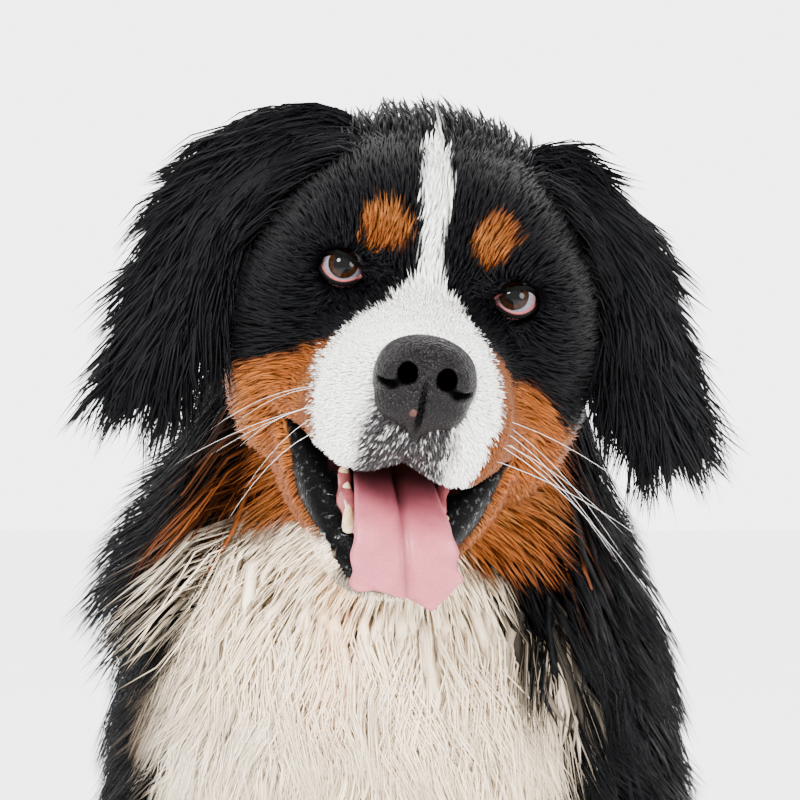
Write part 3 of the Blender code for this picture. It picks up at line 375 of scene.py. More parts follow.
BLOCK = 4  # grid points are worked out in blocks of so many steps, and only near the surface


def sampled(axes, distance):
    """Values of a distance on a grid, exact near its surface and rough away from it."""
    blocks = [(len(a) - 1) // BLOCK for a in axes]
    axes = [a[: n * BLOCK + 1] for a, n in zip(axes, blocks)]
    coarse_axes = [a[::BLOCK] for a in axes]
    coarse = distance(np.stack(np.meshgrid(*coarse_axes, indexing="ij"), -1).reshape(-1, 3))
    coarse = coarse.reshape([n + 1 for n in blocks])
    nearest = np.minimum.reduce([np.abs(corner) for corner in corners_of(coarse)])
    x, y, z = np.meshgrid(*(np.diff(a) for a in coarse_axes), indexing="ij", sparse=True)
    diagonal = np.sqrt(x**2 + y**2 + z**2)
    active = np.argwhere(nearest < diagonal)
    values = coarse[:-1, :-1, :-1].repeat(BLOCK, 0).repeat(BLOCK, 1).repeat(BLOCK, 2)
    values = np.pad(values, ((0, 1),) * 3, mode="edge")
    wanted = np.zeros(values.shape, bool)
    for offset in itertools.product(range(BLOCK + 1), repeat=3):
        i, j, k = (active * BLOCK + offset).T
        wanted[i, j, k] = True
    values[wanted] = distance(grid_points(axes, np.argwhere(wanted)))
    return values, axes


SLOPE_STEP = 0.0012


def slope_of(p):
    """Unit vectors straight out of the skin, with the distances from it."""
    here = field(p)
    found = np.zeros_like(p)
    for axis in range(3):
        move = np.zeros(3)
        move[axis] = SLOPE_STEP
        found[:, axis] = field(p + move) - here
    return unit(found), here


LIE_REACH = 0.018  # how far away a form still turns the coat
EYE_PUSH = 3.0  # how strongly the hairs round an eye point away from it
EYE_PUSH_FROM, EYE_PUSH_FADE = 0.014, 0.006


def coat_at(p):
    """The way the coat lies at each point and how deep it is there."""
    local = to_head(p)
    mirror = np.where(local[:, :1] < 0, (-1.0, 1.0, 1.0), 1.0)
    off_eye = local * mirror - EYE
    beyond = np.maximum(np.linalg.norm(off_eye, axis=1) - EYE_PUSH_FROM, 0.0)
    push = EYE_PUSH * np.exp(-beyond / EYE_PUSH_FADE)
    away = unit(local - NOSE) @ HEAD_AXES.T
    away = away + (push[:, None] * unit(off_eye) * mirror) @ HEAD_AXES.T
    sets = [(form, p) for form in TRUNK + PAWS] + [(form, local) for form in HEAD + JAW]
    distances = [form.distance(mirrored(place) if form.paired else place) for form, place in sets]
    weights = np.exp(-(distances - np.min(distances, axis=0)) / LIE_REACH)
    weights /= weights.sum(axis=0)
    way, depth = np.zeros_like(p), np.zeros(len(p))
    for (form, place), weight in zip(sets, weights):
        lie = away
        if place is p:
            lie = np.tile(unit(form.lie), (len(p), 1))
            if form.paired:
                lie[:, 0] *= np.where(p[:, 0] < 0, -1.0, 1.0)
        way += weight[:, None] * lie
        depth += weight * form.coat
    return way, depth


def flattened(way, normals):
    """Ways laid flat on the skin."""
    return unit(way - (way * normals).sum(axis=1)[:, None] * normals)


# Colours as linear red, green and blue.
BLACK = np.array([0.0020, 0.0020, 0.0026])
RUST = np.array([0.215, 0.055, 0.0070])
RUST_LIGHT = np.array([0.27, 0.085, 0.0150])
RUST_DARK = np.array([0.075, 0.0165, 0.0032])
WHITE = np.array([0.95, 0.93, 0.895])
CREAM = np.array([0.97, 0.78, 0.55])
PEACH = np.array([0.88, 0.52, 0.27])
GREY = np.array([0.024, 0.021, 0.022])
LIP = np.array([0.0009, 0.0008, 0.0008])
# the inside of the mouth: its own red, darkened far down as painted shade of the hollow
SHADED_MOUTH = np.array([0.030, 0.008, 0.008])

# The white on the face, in cm: how far below the eyes as seen from ahead, half its width there, its middle.
BLAZE_DOWN = (-8.6, -7.4, -5.0, -1.8, -0.2, 1.4, 3.4, 5.0, 6.9, 9.0, 12.0)
BLAZE_HALF = (0.05, 0.74, 0.78, 0.66, 1.05, 2.30, 4.00, 4.70, 4.95, 4.30, 3.0)
BLAZE_MIDDLE = (-0.8, -0.7, -0.45, -0.27, -0.20, -0.25, -0.45, -0.55, -0.50, -0.5, -0.4)
# Half width of the white chest by height.
CHEST_Z = (0.36, 0.40, 0.46, 0.54, 0.62, 0.68, 0.72)
CHEST_HALF = (0.0, 0.036, 0.070, 0.088, 0.090, 0.074, 0.062)
CHEST_MIDDLE = -0.016
# Half width of the black lips on the lower jaw, by how far below the eyes it lies.
LIP_DOWN = (7.2, 8.5, 9.6, 12.0, 13.0, 13.9, 15.7, 16.3)
LIP_HALF = (6.1, 5.8, 5.4, 4.8, 4.0, 3.0, 1.7, 0.3)
FACE_TIP = math.radians(8.0)  # the markings are measured as the face shows, tipped by this
SPOT = (2.95, -2.75)  # a brow spot: across, and below the eyes, in cm
SPOT_HALF = (1.32, 1.40)
SPOT_SHADE = 0.62  # the brow spots are darker than the cheeks


def ripple(p, scale, seed):
    """A smooth made-up unevenness between about -1 and 1."""
    turns = np.random.default_rng(seed).normal(size=(3, 3)) / scale
    waves = np.sin(p @ turns.T + seed * 1.7)
    return waves.sum(axis=1) / 1.8


def faceward(local):
    """Where a point of the head shows from ahead: across and below the eyes, in cm."""
    down = -local[:, 2] * math.cos(FACE_TIP) - local[:, 1] * math.sin(FACE_TIP)
    return local[:, 0] * 100, down * 100


def mixed(colour, other, share):
    """A colour, or one for each point, drawn towards another by a share at each point."""
    return colour + (other - colour) * share[:, None]


def coat_colour(p):
    """The markings at points of the skin, as linear colours."""
    local = to_head(p)
    back = local[:, 1]
    uneven = ripple(p, 0.010, 3)
    u, v = faceward(local)
    u, v = u + 0.16 * uneven, v + 0.22 * ripple(p, 0.013, 5)
    out = np.abs(u)
    front = fall(back, 0.085, 0.125)
    # rust cheeks, from the white muzzle back to the ears and down to the throat
    cheek = ramp(v - 3.7 - (out - 4.4) * 0.50, -0.35, 0.35) * fall(out, 10.4, 11.3)
    cheek = cheek * fall(back, 0.110, 0.135) * fall(v, 14.0, 15.6)
    rust = mixed(RUST, RUST_LIGHT, ramp(ripple(p, 0.012, 8), 0.0, 1.2))
    rust = mixed(rust, RUST_DARK, ramp(v - 9.5, 0.0, 5.0) * 0.30 + 0.25 * ramp(out, 9.0, 10.8))
    rust = rust * (0.62 + 0.38 * ramp(back, -0.06, 0.01))[:, None]
    colour = mixed(BLACK, rust, cheek)
    spot = ((out - SPOT[0]) / SPOT_HALF[0]) ** 2 + ((v - SPOT[1]) / SPOT_HALF[1]) ** 2
    colour = mixed(colour, rust * SPOT_SHADE, fall(spot, 0.65, 1.20) * front)
    # the blaze and the white muzzle, speckled grey round the nose
    half = np.interp(v, BLAZE_DOWN, BLAZE_HALF, left=0.0)
    middle = np.interp(v, BLAZE_DOWN, BLAZE_MIDDLE)
    blaze = ramp(half - np.abs(u - middle), -0.12, 0.16) * front * (back < 0.10)
    blaze = blaze * (1 - ramp(back, -0.015, 0.02) * (v > 3.0))
    colour = mixed(colour, WHITE, blaze)
    speckle = ramp(v, 5.0, 6.2) * fall(np.abs(u + 0.3), 1.5, 3.0) * (back < -0.06)
    colour = mixed(colour, GREY, np.clip(speckle * (1.2 + 0.45 * ripple(p, 0.0012, 12)), 0, 1))
    # the cream throat and chest, and the grey chin
    x, y, z = p.T
    half = np.interp(z, CHEST_Z, CHEST_HALF) + 0.010 * ripple(p, 0.022, 21)
    chest = ramp(half - np.abs(x - CHEST_MIDDLE), -0.010, 0.008) * fall(y, -0.095, -0.045)
    below = np.maximum(ramp(v, 14.8, 15.8), fall(out, 4.6, 6.0) * ramp(v, 13.7, 14.6))
    cream = mixed(CREAM, PEACH, 0.55 * ramp(ripple(p * (1, 1, 0.25), 0.010, 31), 0.2, 1.4))
    cream = mixed(cream, WHITE, 0.25 * ramp(ripple(p, 0.03, 33), -0.2, 1.2))
    colour = mixed(colour, cream, chest * below * (z < 0.76))
    chin = ramp(v, 15.0, 15.4) * fall(v, 16.5, 17.0) * fall(out, 2.2, 3.2) * (back < -0.03)
    colour = mixed(colour, GREY, 0.85 * chin)
    # rust legs and the patches above them, white paws and tail tip
    wide = np.abs(x)
    legs = fall(z, 0.30, 0.36) * (y < 0.0) * ramp(wide, 0.045, 0.060)
    shank = fall(z, 0.085, 0.125) * (y > 0.0) * (y < 0.30) * ramp(wide, 0.075, 0.10)
    patch = ramp(z, 0.36, 0.40) * fall(z, 0.47, 0.50) * fall(y, -0.12, -0.09)
    patch = patch * ramp(wide, 0.055, 0.065) * fall(wide, 0.115, 0.13)
    colour = mixed(colour, rust, np.clip(legs + shank + patch, 0, 1))
    forepaw = fall(z + 0.006 * uneven, 0.085, 0.110) * (y > -0.30)
    hind_toes = fall(z + 0.004 * uneven, 0.045, 0.060) * (y < 0.13)
    is_fore = y < -0.02 - 0.3 * (wide < 0.06)
    colour = mixed(colour, WHITE, np.where(is_fore, forepaw, hind_toes))
    tip = ramp(x + 0.6 * (y - 0.70), 0.165, 0.20) * (y > 0.60)
    return mixed(colour, WHITE, tip)


def lip_band(local, beyond=0.0):
    """1 on the black lips of the lower jaw and 0 away from them, farther out by so many cm."""
    _, v = faceward(local)
    inside = np.interp(v, LIP_DOWN, LIP_HALF, left=-1.0, right=-1.0) - np.abs(local[:, 0]) * 100
    return ramp(inside + beyond, -0.08, 0.12) * (roof_of(local) < 0.004) * (local[:, 1] < 0.022)


def from_eye(local):
    """How far points of the head are from the middle of the nearer eye."""
    return np.linalg.norm(mirrored(local) - EYE, axis=1)


def bare_of(p):
    """Where no fur grows: the inside of the mouth, the lips, the eyes' rims and under the nose leather."""
    local = to_head(p)
    bare = (wedge(local) < 0.0030) & (local[:, 1] < 0.02)
    bare |= (lip_band(local) > 0.5) | (mouth_hollow(local) < 0.004)
    bare |= (from_eye(local) < EYE_RADIUS + 0.0006) | (nose_block(local) < -0.0015)
    return bare & (np.linalg.norm(local, axis=1) < HEAD_REACH)


def skin_colour(p):
    """The markings, with black lips, lids and nose seat, and the mouth's inside a dark red, its own colour
    darkened by painted shade.
    """
    local = to_head(p)
    near = (np.linalg.norm(local, axis=1) < 0.2) & (local[:, 1] < 0.03)
    edge, seat = wedge(local), nose_block(local)
    lips = np.maximum(fall(edge, 0.0030, 0.0045), lip_band(local, 0.32))
    inside = fall(np.minimum(edge, mouth_hollow(local)), 0.0004, 0.0016)
    above = ramp(faceward(local)[1], 4.5, 6.5)
    colour = mixed(coat_colour(p), GREY, near * fall(seat, 0.0005, 0.0030) * above)
    colour = mixed(colour, LIP, near * fall(seat, -0.002, -0.001))
    colour = mixed(colour, LIP, near * lips)
    # painted shade: the inside of the mouth takes the dark red
    colour = mixed(colour, SHADED_MOUTH, near * inside * (np.abs(local[:, 0]) < 0.036))
    return mixed(colour, LIP, fall(from_eye(local), EYE_RADIUS + 0.0020, EYE_RADIUS + 0.0040))


low_corner, high_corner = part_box("eye_left")
SHIFT = (np.array(low_corner) + np.array(high_corner)) / 2 - head_to_world(EYE)


# Making meshes and materials.
def piece(name, points, faces, slot, material, stands_for=()):
    """A mesh object in the row's frame from points and triangles, riding on the body."""
    points, faces = np.asarray(points, float) + SHIFT, np.asarray(faces, np.int32)
    mesh = bpy.data.meshes.new(name)
    mesh.vertices.add(len(points))
    mesh.vertices.foreach_set("co", points.ravel())
    mesh.loops.add(faces.size)
    mesh.loops.foreach_set("vertex_index", faces.ravel())
    mesh.polygons.add(len(faces))
    mesh.polygons.foreach_set("loop_start", np.arange(0, faces.size, 3, dtype=np.int32))
    mesh.update(calc_edges=True)
    mesh.validate()
    made = bpy.data.objects.new(name, mesh)
    bpy.context.scene.collection.objects.link(made)
    mesh.shade_smooth()
    mesh.materials.append(material)
    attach(made, "root")
    if stands_for:
        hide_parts(*stands_for)
    return made


def painted(made, colours):
    """Stores a colour for each point, which the material reads."""
    layer = made.data.color_attributes.new(name="coat", type="FLOAT_COLOR", domain="POINT")
    values = np.ones((len(made.data.vertices), 4), np.float32)
    values[:, :3] = colours
    layer.data.foreach_set("color", values.ravel())


def uv_layer(made, name, values):
    layer = made.data.uv_layers.new(name=name)
    layer.data.foreach_set("uv", np.asarray(values, np.float32).ravel())


def opaque(*levels):
    """A colour for a shader from one level of grey, or from red, green and blue."""
    return (*(levels * 3)[:3], 1.0)


def add_node(tree, kind, inputs=(), **settings):
    """A node with its settings, and with a value or a link for each input that is given."""
    node = tree.nodes.new(kind)
    for key, value in settings.items():
        setattr(node, key, value)
    for socket, value in dict(inputs).items():
        if isinstance(value, bpy.types.NodeSocket):
            tree.links.new(value, node.inputs[socket])
        else:
            node.inputs[socket].default_value = value
    return node


class Nodes:
    """A material's nodes, made and linked in short lines."""

    def __init__(self, name, **fixed):
        self.material = bpy.data.materials.new(name)
        self.material.use_nodes = True
        self.tree = self.material.node_tree
        self.shader = self.tree.nodes["Principled BSDF"]
        for socket, value in fixed.items():
            self.shader.inputs[socket.replace("_", " ")].default_value = value

    def add(self, kind, inputs=(), **settings):
        return add_node(self.tree, kind, inputs, **settings)

    def link(self, output, socket):
        self.tree.links.new(output, self.shader.inputs[socket])

    def stored(self):
        """The colour that is stored with each point."""
        return self.add("ShaderNodeVertexColor", layer_name="coat").outputs["Color"]

    def place(self):
        return self.add("ShaderNodeTexCoord").outputs["Object"]

    def noise(self, scale, detail=3.0, vector=None, rough=0.55):
        vector = self.place() if vector is None else vector
        inputs = {"Scale": scale, "Detail": detail, "Roughness": rough, "Vector": vector}
        return self.add("ShaderNodeTexNoise", inputs).outputs["Fac"]

    def spread(self, value, low, high, to_low, to_high):
        inputs = {"Value": value, "From Min": low, "From Max": high, "To Min": to_low, "To Max": to_high}
        return self.add("ShaderNodeMapRange", inputs).outputs["Result"]

    def mix(self, fac, a, b, blend="MIX"):
        inputs = {0: fac, 6: a, 7: b}
        return self.add("ShaderNodeMix", inputs, data_type="RGBA", blend_type=blend).outputs[2]

    def shaded(self, colour, uneven, low, high):
        """A colour made darker and lighter by an unevenness."""
        return self.mix(1.0, colour, self.spread(uneven, 0.3, 0.7, low, high), "MULTIPLY")

    def bump(self, height, strength, distance):
        node = self.add("ShaderNodeBump", {"Height": height, "Strength": strength, "Distance": distance})
        self.link(node.outputs["Normal"], "Normal")


def fur_material(tone, roughness, shine, low, high):
    """Fur: the stored markings, streaked along each tuft as single hairs are."""
    nodes = Nodes("fur_" + tone, Roughness=roughness, Specular_IOR_Level=shine)
    strand = nodes.add("ShaderNodeUVMap", uv_map="strand").outputs["UV"]
    hair = nodes.noise(1.0, 3.0, strand, 0.6)
    nodes.link(nodes.shaded(nodes.stored(), hair, low, high), "Base Color")
    nodes.bump(hair, 0.55, 0.0012)
    return nodes.material


def skin_material():
    """Skin with pores, and with wet glints where its colour is the lips' black."""
    nodes = Nodes("skin")
    colour = nodes.stored()
    pores = nodes.noise(900.0, 5.0)
    wet = nodes.spread(colour, 0.0010, 0.0017, 1.0, 0.0)
    glint = nodes.spread(nodes.noise(330.0), 0.59, 0.70, 0.03, 0.50)
    nodes.link(nodes.mix(wet, opaque(0.03), glint), "Specular IOR Level")
    nodes.link(nodes.mix(wet, opaque(0.38), opaque(0.20)), "Roughness")
    nodes.link(nodes.shaded(colour, pores, 0.7, 1.15), "Base Color")
    nodes.bump(pores, 0.5, 0.0008)
    return nodes.material


LEATHER = opaque(0.0020, 0.0015, 0.0016)
LEATHER_WORN = opaque(0.0065, 0.0048, 0.0051)
LEATHER_GROOVE = opaque(0.0010, 0.0008, 0.0008)


def leather_material():
    """The nose: black, moist and pebbled, with painted shade in its nostrils and down its philtrum's groove.
    """
    nodes = Nodes("nose_leather")
    pebbles = nodes.add("ShaderNodeTexVoronoi", {"Scale": 620.0, "Vector": nodes.place()})
    height = pebbles.outputs["Distance"]
    patches = nodes.noise(70.0, 4.0)
    dark = nodes.mix(nodes.spread(patches, 0.35, 0.7, 0, 1), LEATHER, LEATHER_WORN)
    pebbled = nodes.mix(nodes.spread(height, 0.2, 0.75, 0, 0.6), dark, LEATHER_GROOVE)
    # the stored colour holds the pink spot and, as painted shade, the near-black of the nostrils and the
    # philtrum's groove, whose shine is taken away too
    holes = nodes.stored()
    nodes.link(nodes.mix(1.0, pebbled, holes, "MULTIPLY"), "Base Color")
    nodes.link(nodes.spread(holes, 0.0, 1.0, 0.0, 0.085), "Specular IOR Level")
    nodes.link(nodes.spread(patches, 0.3, 0.7, 0.26, 0.46), "Roughness")
    nodes.bump(nodes.spread(height, 0.1, 0.7, 1.0, 0.0), 0.8, 0.0007)
    return nodes.material


def tongue_material():
    """Soft moist flesh with a fine grain and wide patches."""
    nodes = Nodes("tongue_flesh", Roughness=0.42, Specular_IOR_Level=0.25, Subsurface_Weight=0.12,
                  Subsurface_Radius=(0.006, 0.002, 0.0015), Coat_Weight=0.08, Coat_Roughness=0.2)
    grain = nodes.noise(1300.0)
    shade = nodes.shaded(nodes.stored(), grain, 0.82, 1.12)
    nodes.link(nodes.shaded(shade, nodes.noise(90.0), 0.88, 1.08), "Base Color")
    nodes.bump(grain, 0.6, 0.0006)
    return nodes.material


def painted_material(name, scale, low, high, relief=0.0, **fixed):
    """The stored colours with a fine grain, in shade and, where there is a depth for it, in relief."""
    nodes = Nodes(name, Specular_IOR_Level=0.03, **fixed)
    grain = nodes.noise(scale)
    nodes.link(nodes.shaded(nodes.stored(), grain, low, high), "Base Color")
    if relief:
        nodes.bump(grain, 0.4, relief)
    return nodes.material


def plain_material(name, colour, other, scale, relief, **fixed):
    """A colour that wanders to another, with a fine grain."""
    nodes = Nodes(name, **fixed)
    grain = nodes.noise(scale, 4.0)
    nodes.link(nodes.mix(nodes.spread(grain, 0.3, 0.7, 0, 1), opaque(*colour), opaque(*other)), "Base Color")
    nodes.bump(grain, 0.4, relief)
    return nodes.material


# The nose leather.
def nose_bar(start, end, radii, blend=0.002, paired=False):
    """A bar at places given from the middle of the nose."""
    return Limb(NOSE + start, NOSE + end, *radii, blend, paired=paired)


NOSTRIL = (
    nose_bar((0.0098, -0.022, 0.0036), (0.0096, 0.003, 0.0090), (0.0049, 0.0040), paired=True),
    nose_bar((0.0112, -0.021, 0.0006), (0.0168, -0.0165, -0.0022), (0.0034, 0.0018), paired=True),
    nose_bar((0.0168, -0.0165, -0.0022), (0.0232, -0.0110, -0.0006), (0.0018, 0.0008), paired=True),
)
PHILTRUM = (
    nose_bar((0, -0.0178, 0.002), (0, -0.0168, -0.013), (0.0009, 0.0013), 0.001),
    nose_bar((0, -0.0168, -0.013), (0, -0.0068, -0.0280), (0.0013, 0.0016), 0.001),
)
NOSE_FORMS = (
    Ball(NOSE, NOSE_RADII * (0.97, 1.0, 0.92)),
    Ball(NOSE + (0, 0.006, 0.0085), (0.0215, 0.0150, 0.0125), 0.010),
    Ball(NOSE + (0.0140, -0.0052, 0.0016), (0.0105, 0.0120, 0.0105), 0.004, paired=True),
    Ball(NOSE + (0.0118, -0.0034, -0.0115), (0.0105, 0.0115, 0.0090), 0.004, paired=True),
    nose_bar((0, -0.0040, -0.013), (0, -0.0015, -0.0255), (0.0120, 0.0042), 0.008),
)
NOSE_SPOT = NOSE + (-0.0034, -0.0165, -0.0137)
NOSE_PINK = np.array([0.50, 0.27, 0.23])


def nose_block(local):
    """The nose without its nostrils."""
    return joined(NOSE_FORMS, local)


def nose_field(p):
    local = to_head(p)
    pad = hollowed(nose_block(local), joined(NOSTRIL, local), 0.002)
    return hollowed(pad, joined(PHILTRUM, local), 0.002)


def simplified(name, points, faces, triangles):
    """The points and triangles of a mesh brought down to about so many triangles."""
    mesh = bpy.data.meshes.new(name)
    mesh.from_pydata(points.tolist(), [], faces.tolist())
    made = bpy.data.objects.new(name, mesh)
    bpy.context.scene.collection.objects.link(made)
    fewer = made.modifiers.new("Decimate", "DECIMATE")
    fewer.ratio = min(1.0, triangles / len(faces))
    fewer.use_collapse_triangulate = True
    graph = bpy.context.evaluated_depsgraph_get()
    done = made.evaluated_get(graph).to_mesh()
    points = np.zeros(len(done.vertices) * 3)
    done.vertices.foreach_get("co", points)
    faces = np.zeros(len(done.polygons) * 3, np.int32)
    done.polygons.foreach_get("vertices", faces)
    bpy.data.objects.remove(made)
    bpy.data.meshes.remove(mesh)
    return points.reshape(-1, 3), faces.reshape(-1, 3)


SETTLE_MOST = 0.0012


def settled(points):
    """Points moved onto the skin, by no more than a little."""
    for _ in range(2):
        normals, here = slope_of(points)
        points = points - normals * np.clip(here, -SETTLE_MOST, SETTLE_MOST)[:, None]
    return points


def stepped(low, fine_low, fine_high, high):
    """Grid places from low to high, closer between two of them, where the head is."""
    spans = ((low, fine_low, SKIN_STEP), (fine_low, fine_high, HEAD_STEP), (fine_high, high, SKIN_STEP))
    return np.concatenate([np.arange(*span) for span in spans])


SKIN_TRIANGLES = 130000
FLAT_BELOW = 0.004  # the soles stay as the floor cuts them
SKIN_STEP, HEAD_STEP = ((0.0075, 0.0027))
SKIN_NODES = (
    "head lower_jaw neck chest hindquarters tail_root tail_tip foreleg_left foreleg_right "
    "hindleg_left hindleg_right forepaw_left forepaw_right hindpaw_left hindpaw_right"
).split()


def make_skin():
    """The dog's one skin, which stands for the solids of its flesh."""
    axes = [
        stepped(-0.30, -0.100, 0.132, 0.34),
        stepped(-0.43, -0.400, -0.140, 0.83),
        stepped(-0.02, 0.660, 0.930, 0.95),
    ]
    points, faces = closed_surface(*sampled(axes, skin_distance))
    points, faces = simplified("skin_raw", points, faces, SKIN_TRIANGLES)
    free = points[:, 2] > FLAT_BELOW
    points[free] = settled(points[free])
    made = piece("skin", points, faces, "coat_black", skin_material(), SKIN_NODES)
    painted(made, skin_colour(points))
    return made, points, faces


def unwrapped(made):
    """The skin's own unwrap, one pair for each corner of its triangles."""
    layer = made.data.uv_layers.new(name="OFBake")
    bpy.context.view_layer.objects.active = made
    made.select_set(True)
    bpy.ops.object.mode_set(mode="EDIT")
    bpy.ops.mesh.select_all(action="SELECT")
    bpy.ops.uv.smart_project(angle_limit=math.radians(66), island_margin=0.001)
    bpy.ops.object.mode_set(mode="OBJECT")
    made.select_set(False)
    values = np.zeros(len(made.data.loops) * 2, np.float32)
    made.data.uv_layers[layer.name].data.foreach_get("uv", values)
    return values.reshape(-1, 3, 2)


# Fur.
PATCH = 0.003  # the size of a tuft on the unwrap
TEMPLE_LIE = (1.0, 0.10, -0.30)  # in the head's frame, on the dog's left


def rooted(points, faces, uvs, wanted, chance):
    """Places drawn on triangles, evenly for a wanted number on each, and where they lie on the unwrap."""
    a, b, c = (points[faces[:, n]] for n in range(3))
    area = np.linalg.norm(np.cross(b - a, c - a), axis=1) / 2
    share = np.cumsum(area * wanted)
    count = int(share[-1])
    picked = np.searchsorted(share, (np.arange(count) + chance.random(count)) * share[-1] / count)
    picked = np.minimum(picked, len(faces) - 1)
    u, v = chance.random((2, count, 1))
    fold = u + v > 1
    u, v = np.where(fold, 1 - u, u), np.where(fold, 1 - v, v)
    found = []
    for corners in (points[faces[picked]], uvs[picked]):
        a, b, c = (corners[:, n] for n in range(3))
        found.append(a + u * (b - a) + v * (c - a))
    return found


# How wide a tuft is at each ring, as a share, by how many rings it has.
WIDTHS = {2: (0.75, 1.0), 3: (0.65, 1.0, 0.72), 4: (0.60, 0.95, 1.0, 0.62)}
MOST_TRIANGLES = 190000
STRANDS = (1900, 28)  # how fine the streaks of single hairs are, across a tuft and along it
STRAND_PLACES = 90  # each tuft has its streaks from its own place, so far apart at most


def blade_faces(rings):
    """The triangles of one tuft, with three points at each ring and one at the tip."""
    faces = [(0, 1, 2)]
    for ring in range(rings - 1):
        for n in range(3):
            a, b = ring * 3 + n, ring * 3 + (n + 1) % 3
            faces += [(b, a, a + 3), (b, a + 3, b + 3)]
    last = (rings - 1) * 3
    return np.array(faces + [(last + (n + 1) % 3, last + n, last + 3) for n in range(3)])


def tuft_pieces(name, rails, outs, widths, thick, colours, uv, chance, slot, material):
    """Tufts as flat three-sided blades along rails of points, as a few pieces of not too many triangles."""
    count, stations = rails.shape[:2]
    rings = stations - 1
    ahead = np.gradient(rails, axis=1)
    across = unit(np.cross(outs, ahead))
    up = unit(np.cross(ahead, across))
    twist = chance.uniform(-0.5, 0.5, count)[:, None, None]
    across, up = across * np.cos(twist) + up * np.sin(twist), up * np.cos(twist) - across * np.sin(twist)
    half = (widths[:, None] * np.array(WIDTHS[rings]) / 2)[:, :, None]
    middle, aside = rails[:, :rings], across[:, :rings] * half
    body = np.stack((middle + aside, middle + up[:, :rings] * half * thick, middle - aside), axis=2)
    points = np.concatenate((body.reshape(count, rings * 3, 3), rails[:, -1:]), axis=1)
    each = rings * 3 + 1
    faces = blade_faces(rings)
    share = np.append(np.repeat(np.arange(rings) / rings, 3), 1.0)
    side = np.append(np.tile((-0.5, 0.0, 0.5), rings), 0.0)
    length = np.linalg.norm(np.diff(rails, axis=1), axis=2).sum(axis=1)
    # a tuft is darker towards its root, painted shade of the coat round the roots, a dark tuft more than a
    # pale one; a dark tuft is also a little lighter towards its tip, and differs more from the next
    pale = ramp(colours[:, 1], 0.2, 0.6)[:, None]
    shade = 1 - fall(share, 0.0, 0.35)[None] * (0.45 - 0.38 * pale) + 0.10 * share[None] * (1 - pale)
    uneven = 1 + (chance.random(count) - 0.5)[:, None] * (0.44 - 0.30 * pale)
    tint = np.minimum(colours[:, None, :] * (shade * uneven)[:, :, None], 0.97)
    patch = uv[:, None, :] + np.stack((side, share - 0.5), axis=1)[None] * PATCH
    strand = np.empty((count, each, 2))
    for n, (way, fine) in enumerate(((side, widths * STRANDS[0]), (share, length * STRANDS[1]))):
        strand[:, :, n] = way * fine[:, None] + chance.uniform(0, STRAND_PLACES, count)[:, None]
    parts = math.ceil(count / (MOST_TRIANGLES // len(faces)))
    order = np.argsort(rails[:, 0, 2] + 0.35 * rails[:, 0, 1], kind="stable")
    for part, rows in enumerate(np.array_split(order, parts)):
        own = (faces[None] + (np.arange(len(rows)) * each)[:, None, None]).reshape(-1, 3)
        title = name if parts == 1 else f"{name}_{part + 1}"
        made = piece(title, points[rows].reshape(-1, 3), own, slot, material)
        painted(made, tint[rows].reshape(-1, 3))
        uv_layer(made, "OFBake", patch[rows].reshape(-1, 2)[own.ravel()])
        uv_layer(made, "strand", strand[rows].reshape(-1, 2)[own.ravel()])


ROOT_DEPTH = 0.0012
OFF_FLOOR = 0.002


def rails_on_skin(places, length, lift, rings, chance, wander=0.18, stand=0.0, toward=None):
    """Rails from places on the skin along the lie of the coat, rising to their own height above it."""
    way, depth = coat_at(places)
    if toward is not None:
        way = toward(places)
    normals, _ = slope_of(places)
    turn = wander * (chance.normal(size=len(places)) * 0.6 + ripple(places, 0.018, 41))
    way = flattened(way, normals)
    way = way * np.cos(turn)[:, None] + np.cross(normals, way) * np.sin(turn)[:, None]
    p = places - normals * ROOT_DEPTH
    rails, outs = [p], [normals]
    for station in range(1, rings + 1):
        share = station / rings
        step = flattened(way, normals) + normals * stand * (1 - 0.5 * share)
        p = p + unit(step) * (length / rings)[:, None]
        normals, here = slope_of(p)
        height = lift * depth * (0.62 if station == 1 else 0.45 + 0.55 * share)
        p = p - normals * ((here - height) * (1 - stand))[:, None]
        p[:, 2] = np.maximum(p[:, 2], OFF_FLOOR)
        rails.append(p)
        outs.append(normals)
    return np.stack(rails, axis=1), np.stack(outs, axis=1)


def gathered(rails, every, pull, chance, keys=None):
    """Rails drawn together into pointed locks, each round the guide that lies nearest by its key."""
    count, stations = rails.shape[:2]
    keys = rails[:, 0] if keys is None else keys
    guides = chance.permutation(count)[: max(1, count // every)]
    tree = KDTree(len(guides))
    for n, guide in enumerate(guides):
        tree.insert(keys[guide], n)
    tree.balance()
    nearest = np.array([guides[tree.find(key)[1]] for key in keys])
    share = (np.linspace(0, 1, stations) ** 1.3)[None, :, None]
    strength = pull * chance.uniform(0.6, 1.0, count)[:, None, None]
    return rails + (rails[nearest] - rails) * share * strength, nearest


def waved(rails, outs, amount, turns, nearest, chance):
    """Rails with a soft wave from side to side, alike within a lock."""
    count, stations = rails.shape[:2]
    share = np.linspace(0, 1, stations)
    start = chance.uniform(0, 2 * math.pi, count)[nearest]
    swing = np.sin(start[:, None] + share * turns * 2 * math.pi) - np.sin(start)[:, None]
    across = unit(np.cross(outs, np.gradient(rails, axis=1)))
    return rails + across * (swing * share * amount[:, None])[:, :, None]


def temple_way(p):
    """Outward and down over the roots of the ears."""
    way = np.tile(TEMPLE_LIE, (len(p), 1))
    way[:, 0] *= np.where(to_head(p)[:, 0] < 0, -1.0, 1.0)
    return way @ HEAD_AXES.T


def face_zone(local):
    """0 on the muzzle to 1 at the back of the head."""
    return ramp(local[:, 1], -0.09, 0.10)


MARKS_SCATTER = 0.0011  # how far the markings mingle at their edges
WHITE_BLUE = 0.15  # a tuft with more blue than this is white
BLACK_RED = 0.05  # and one with less red than this is black


def size_at(size, p):
    """A size at each point, from one number or from a function of place."""
    return size(p) if callable(size) else np.full(len(p), size)


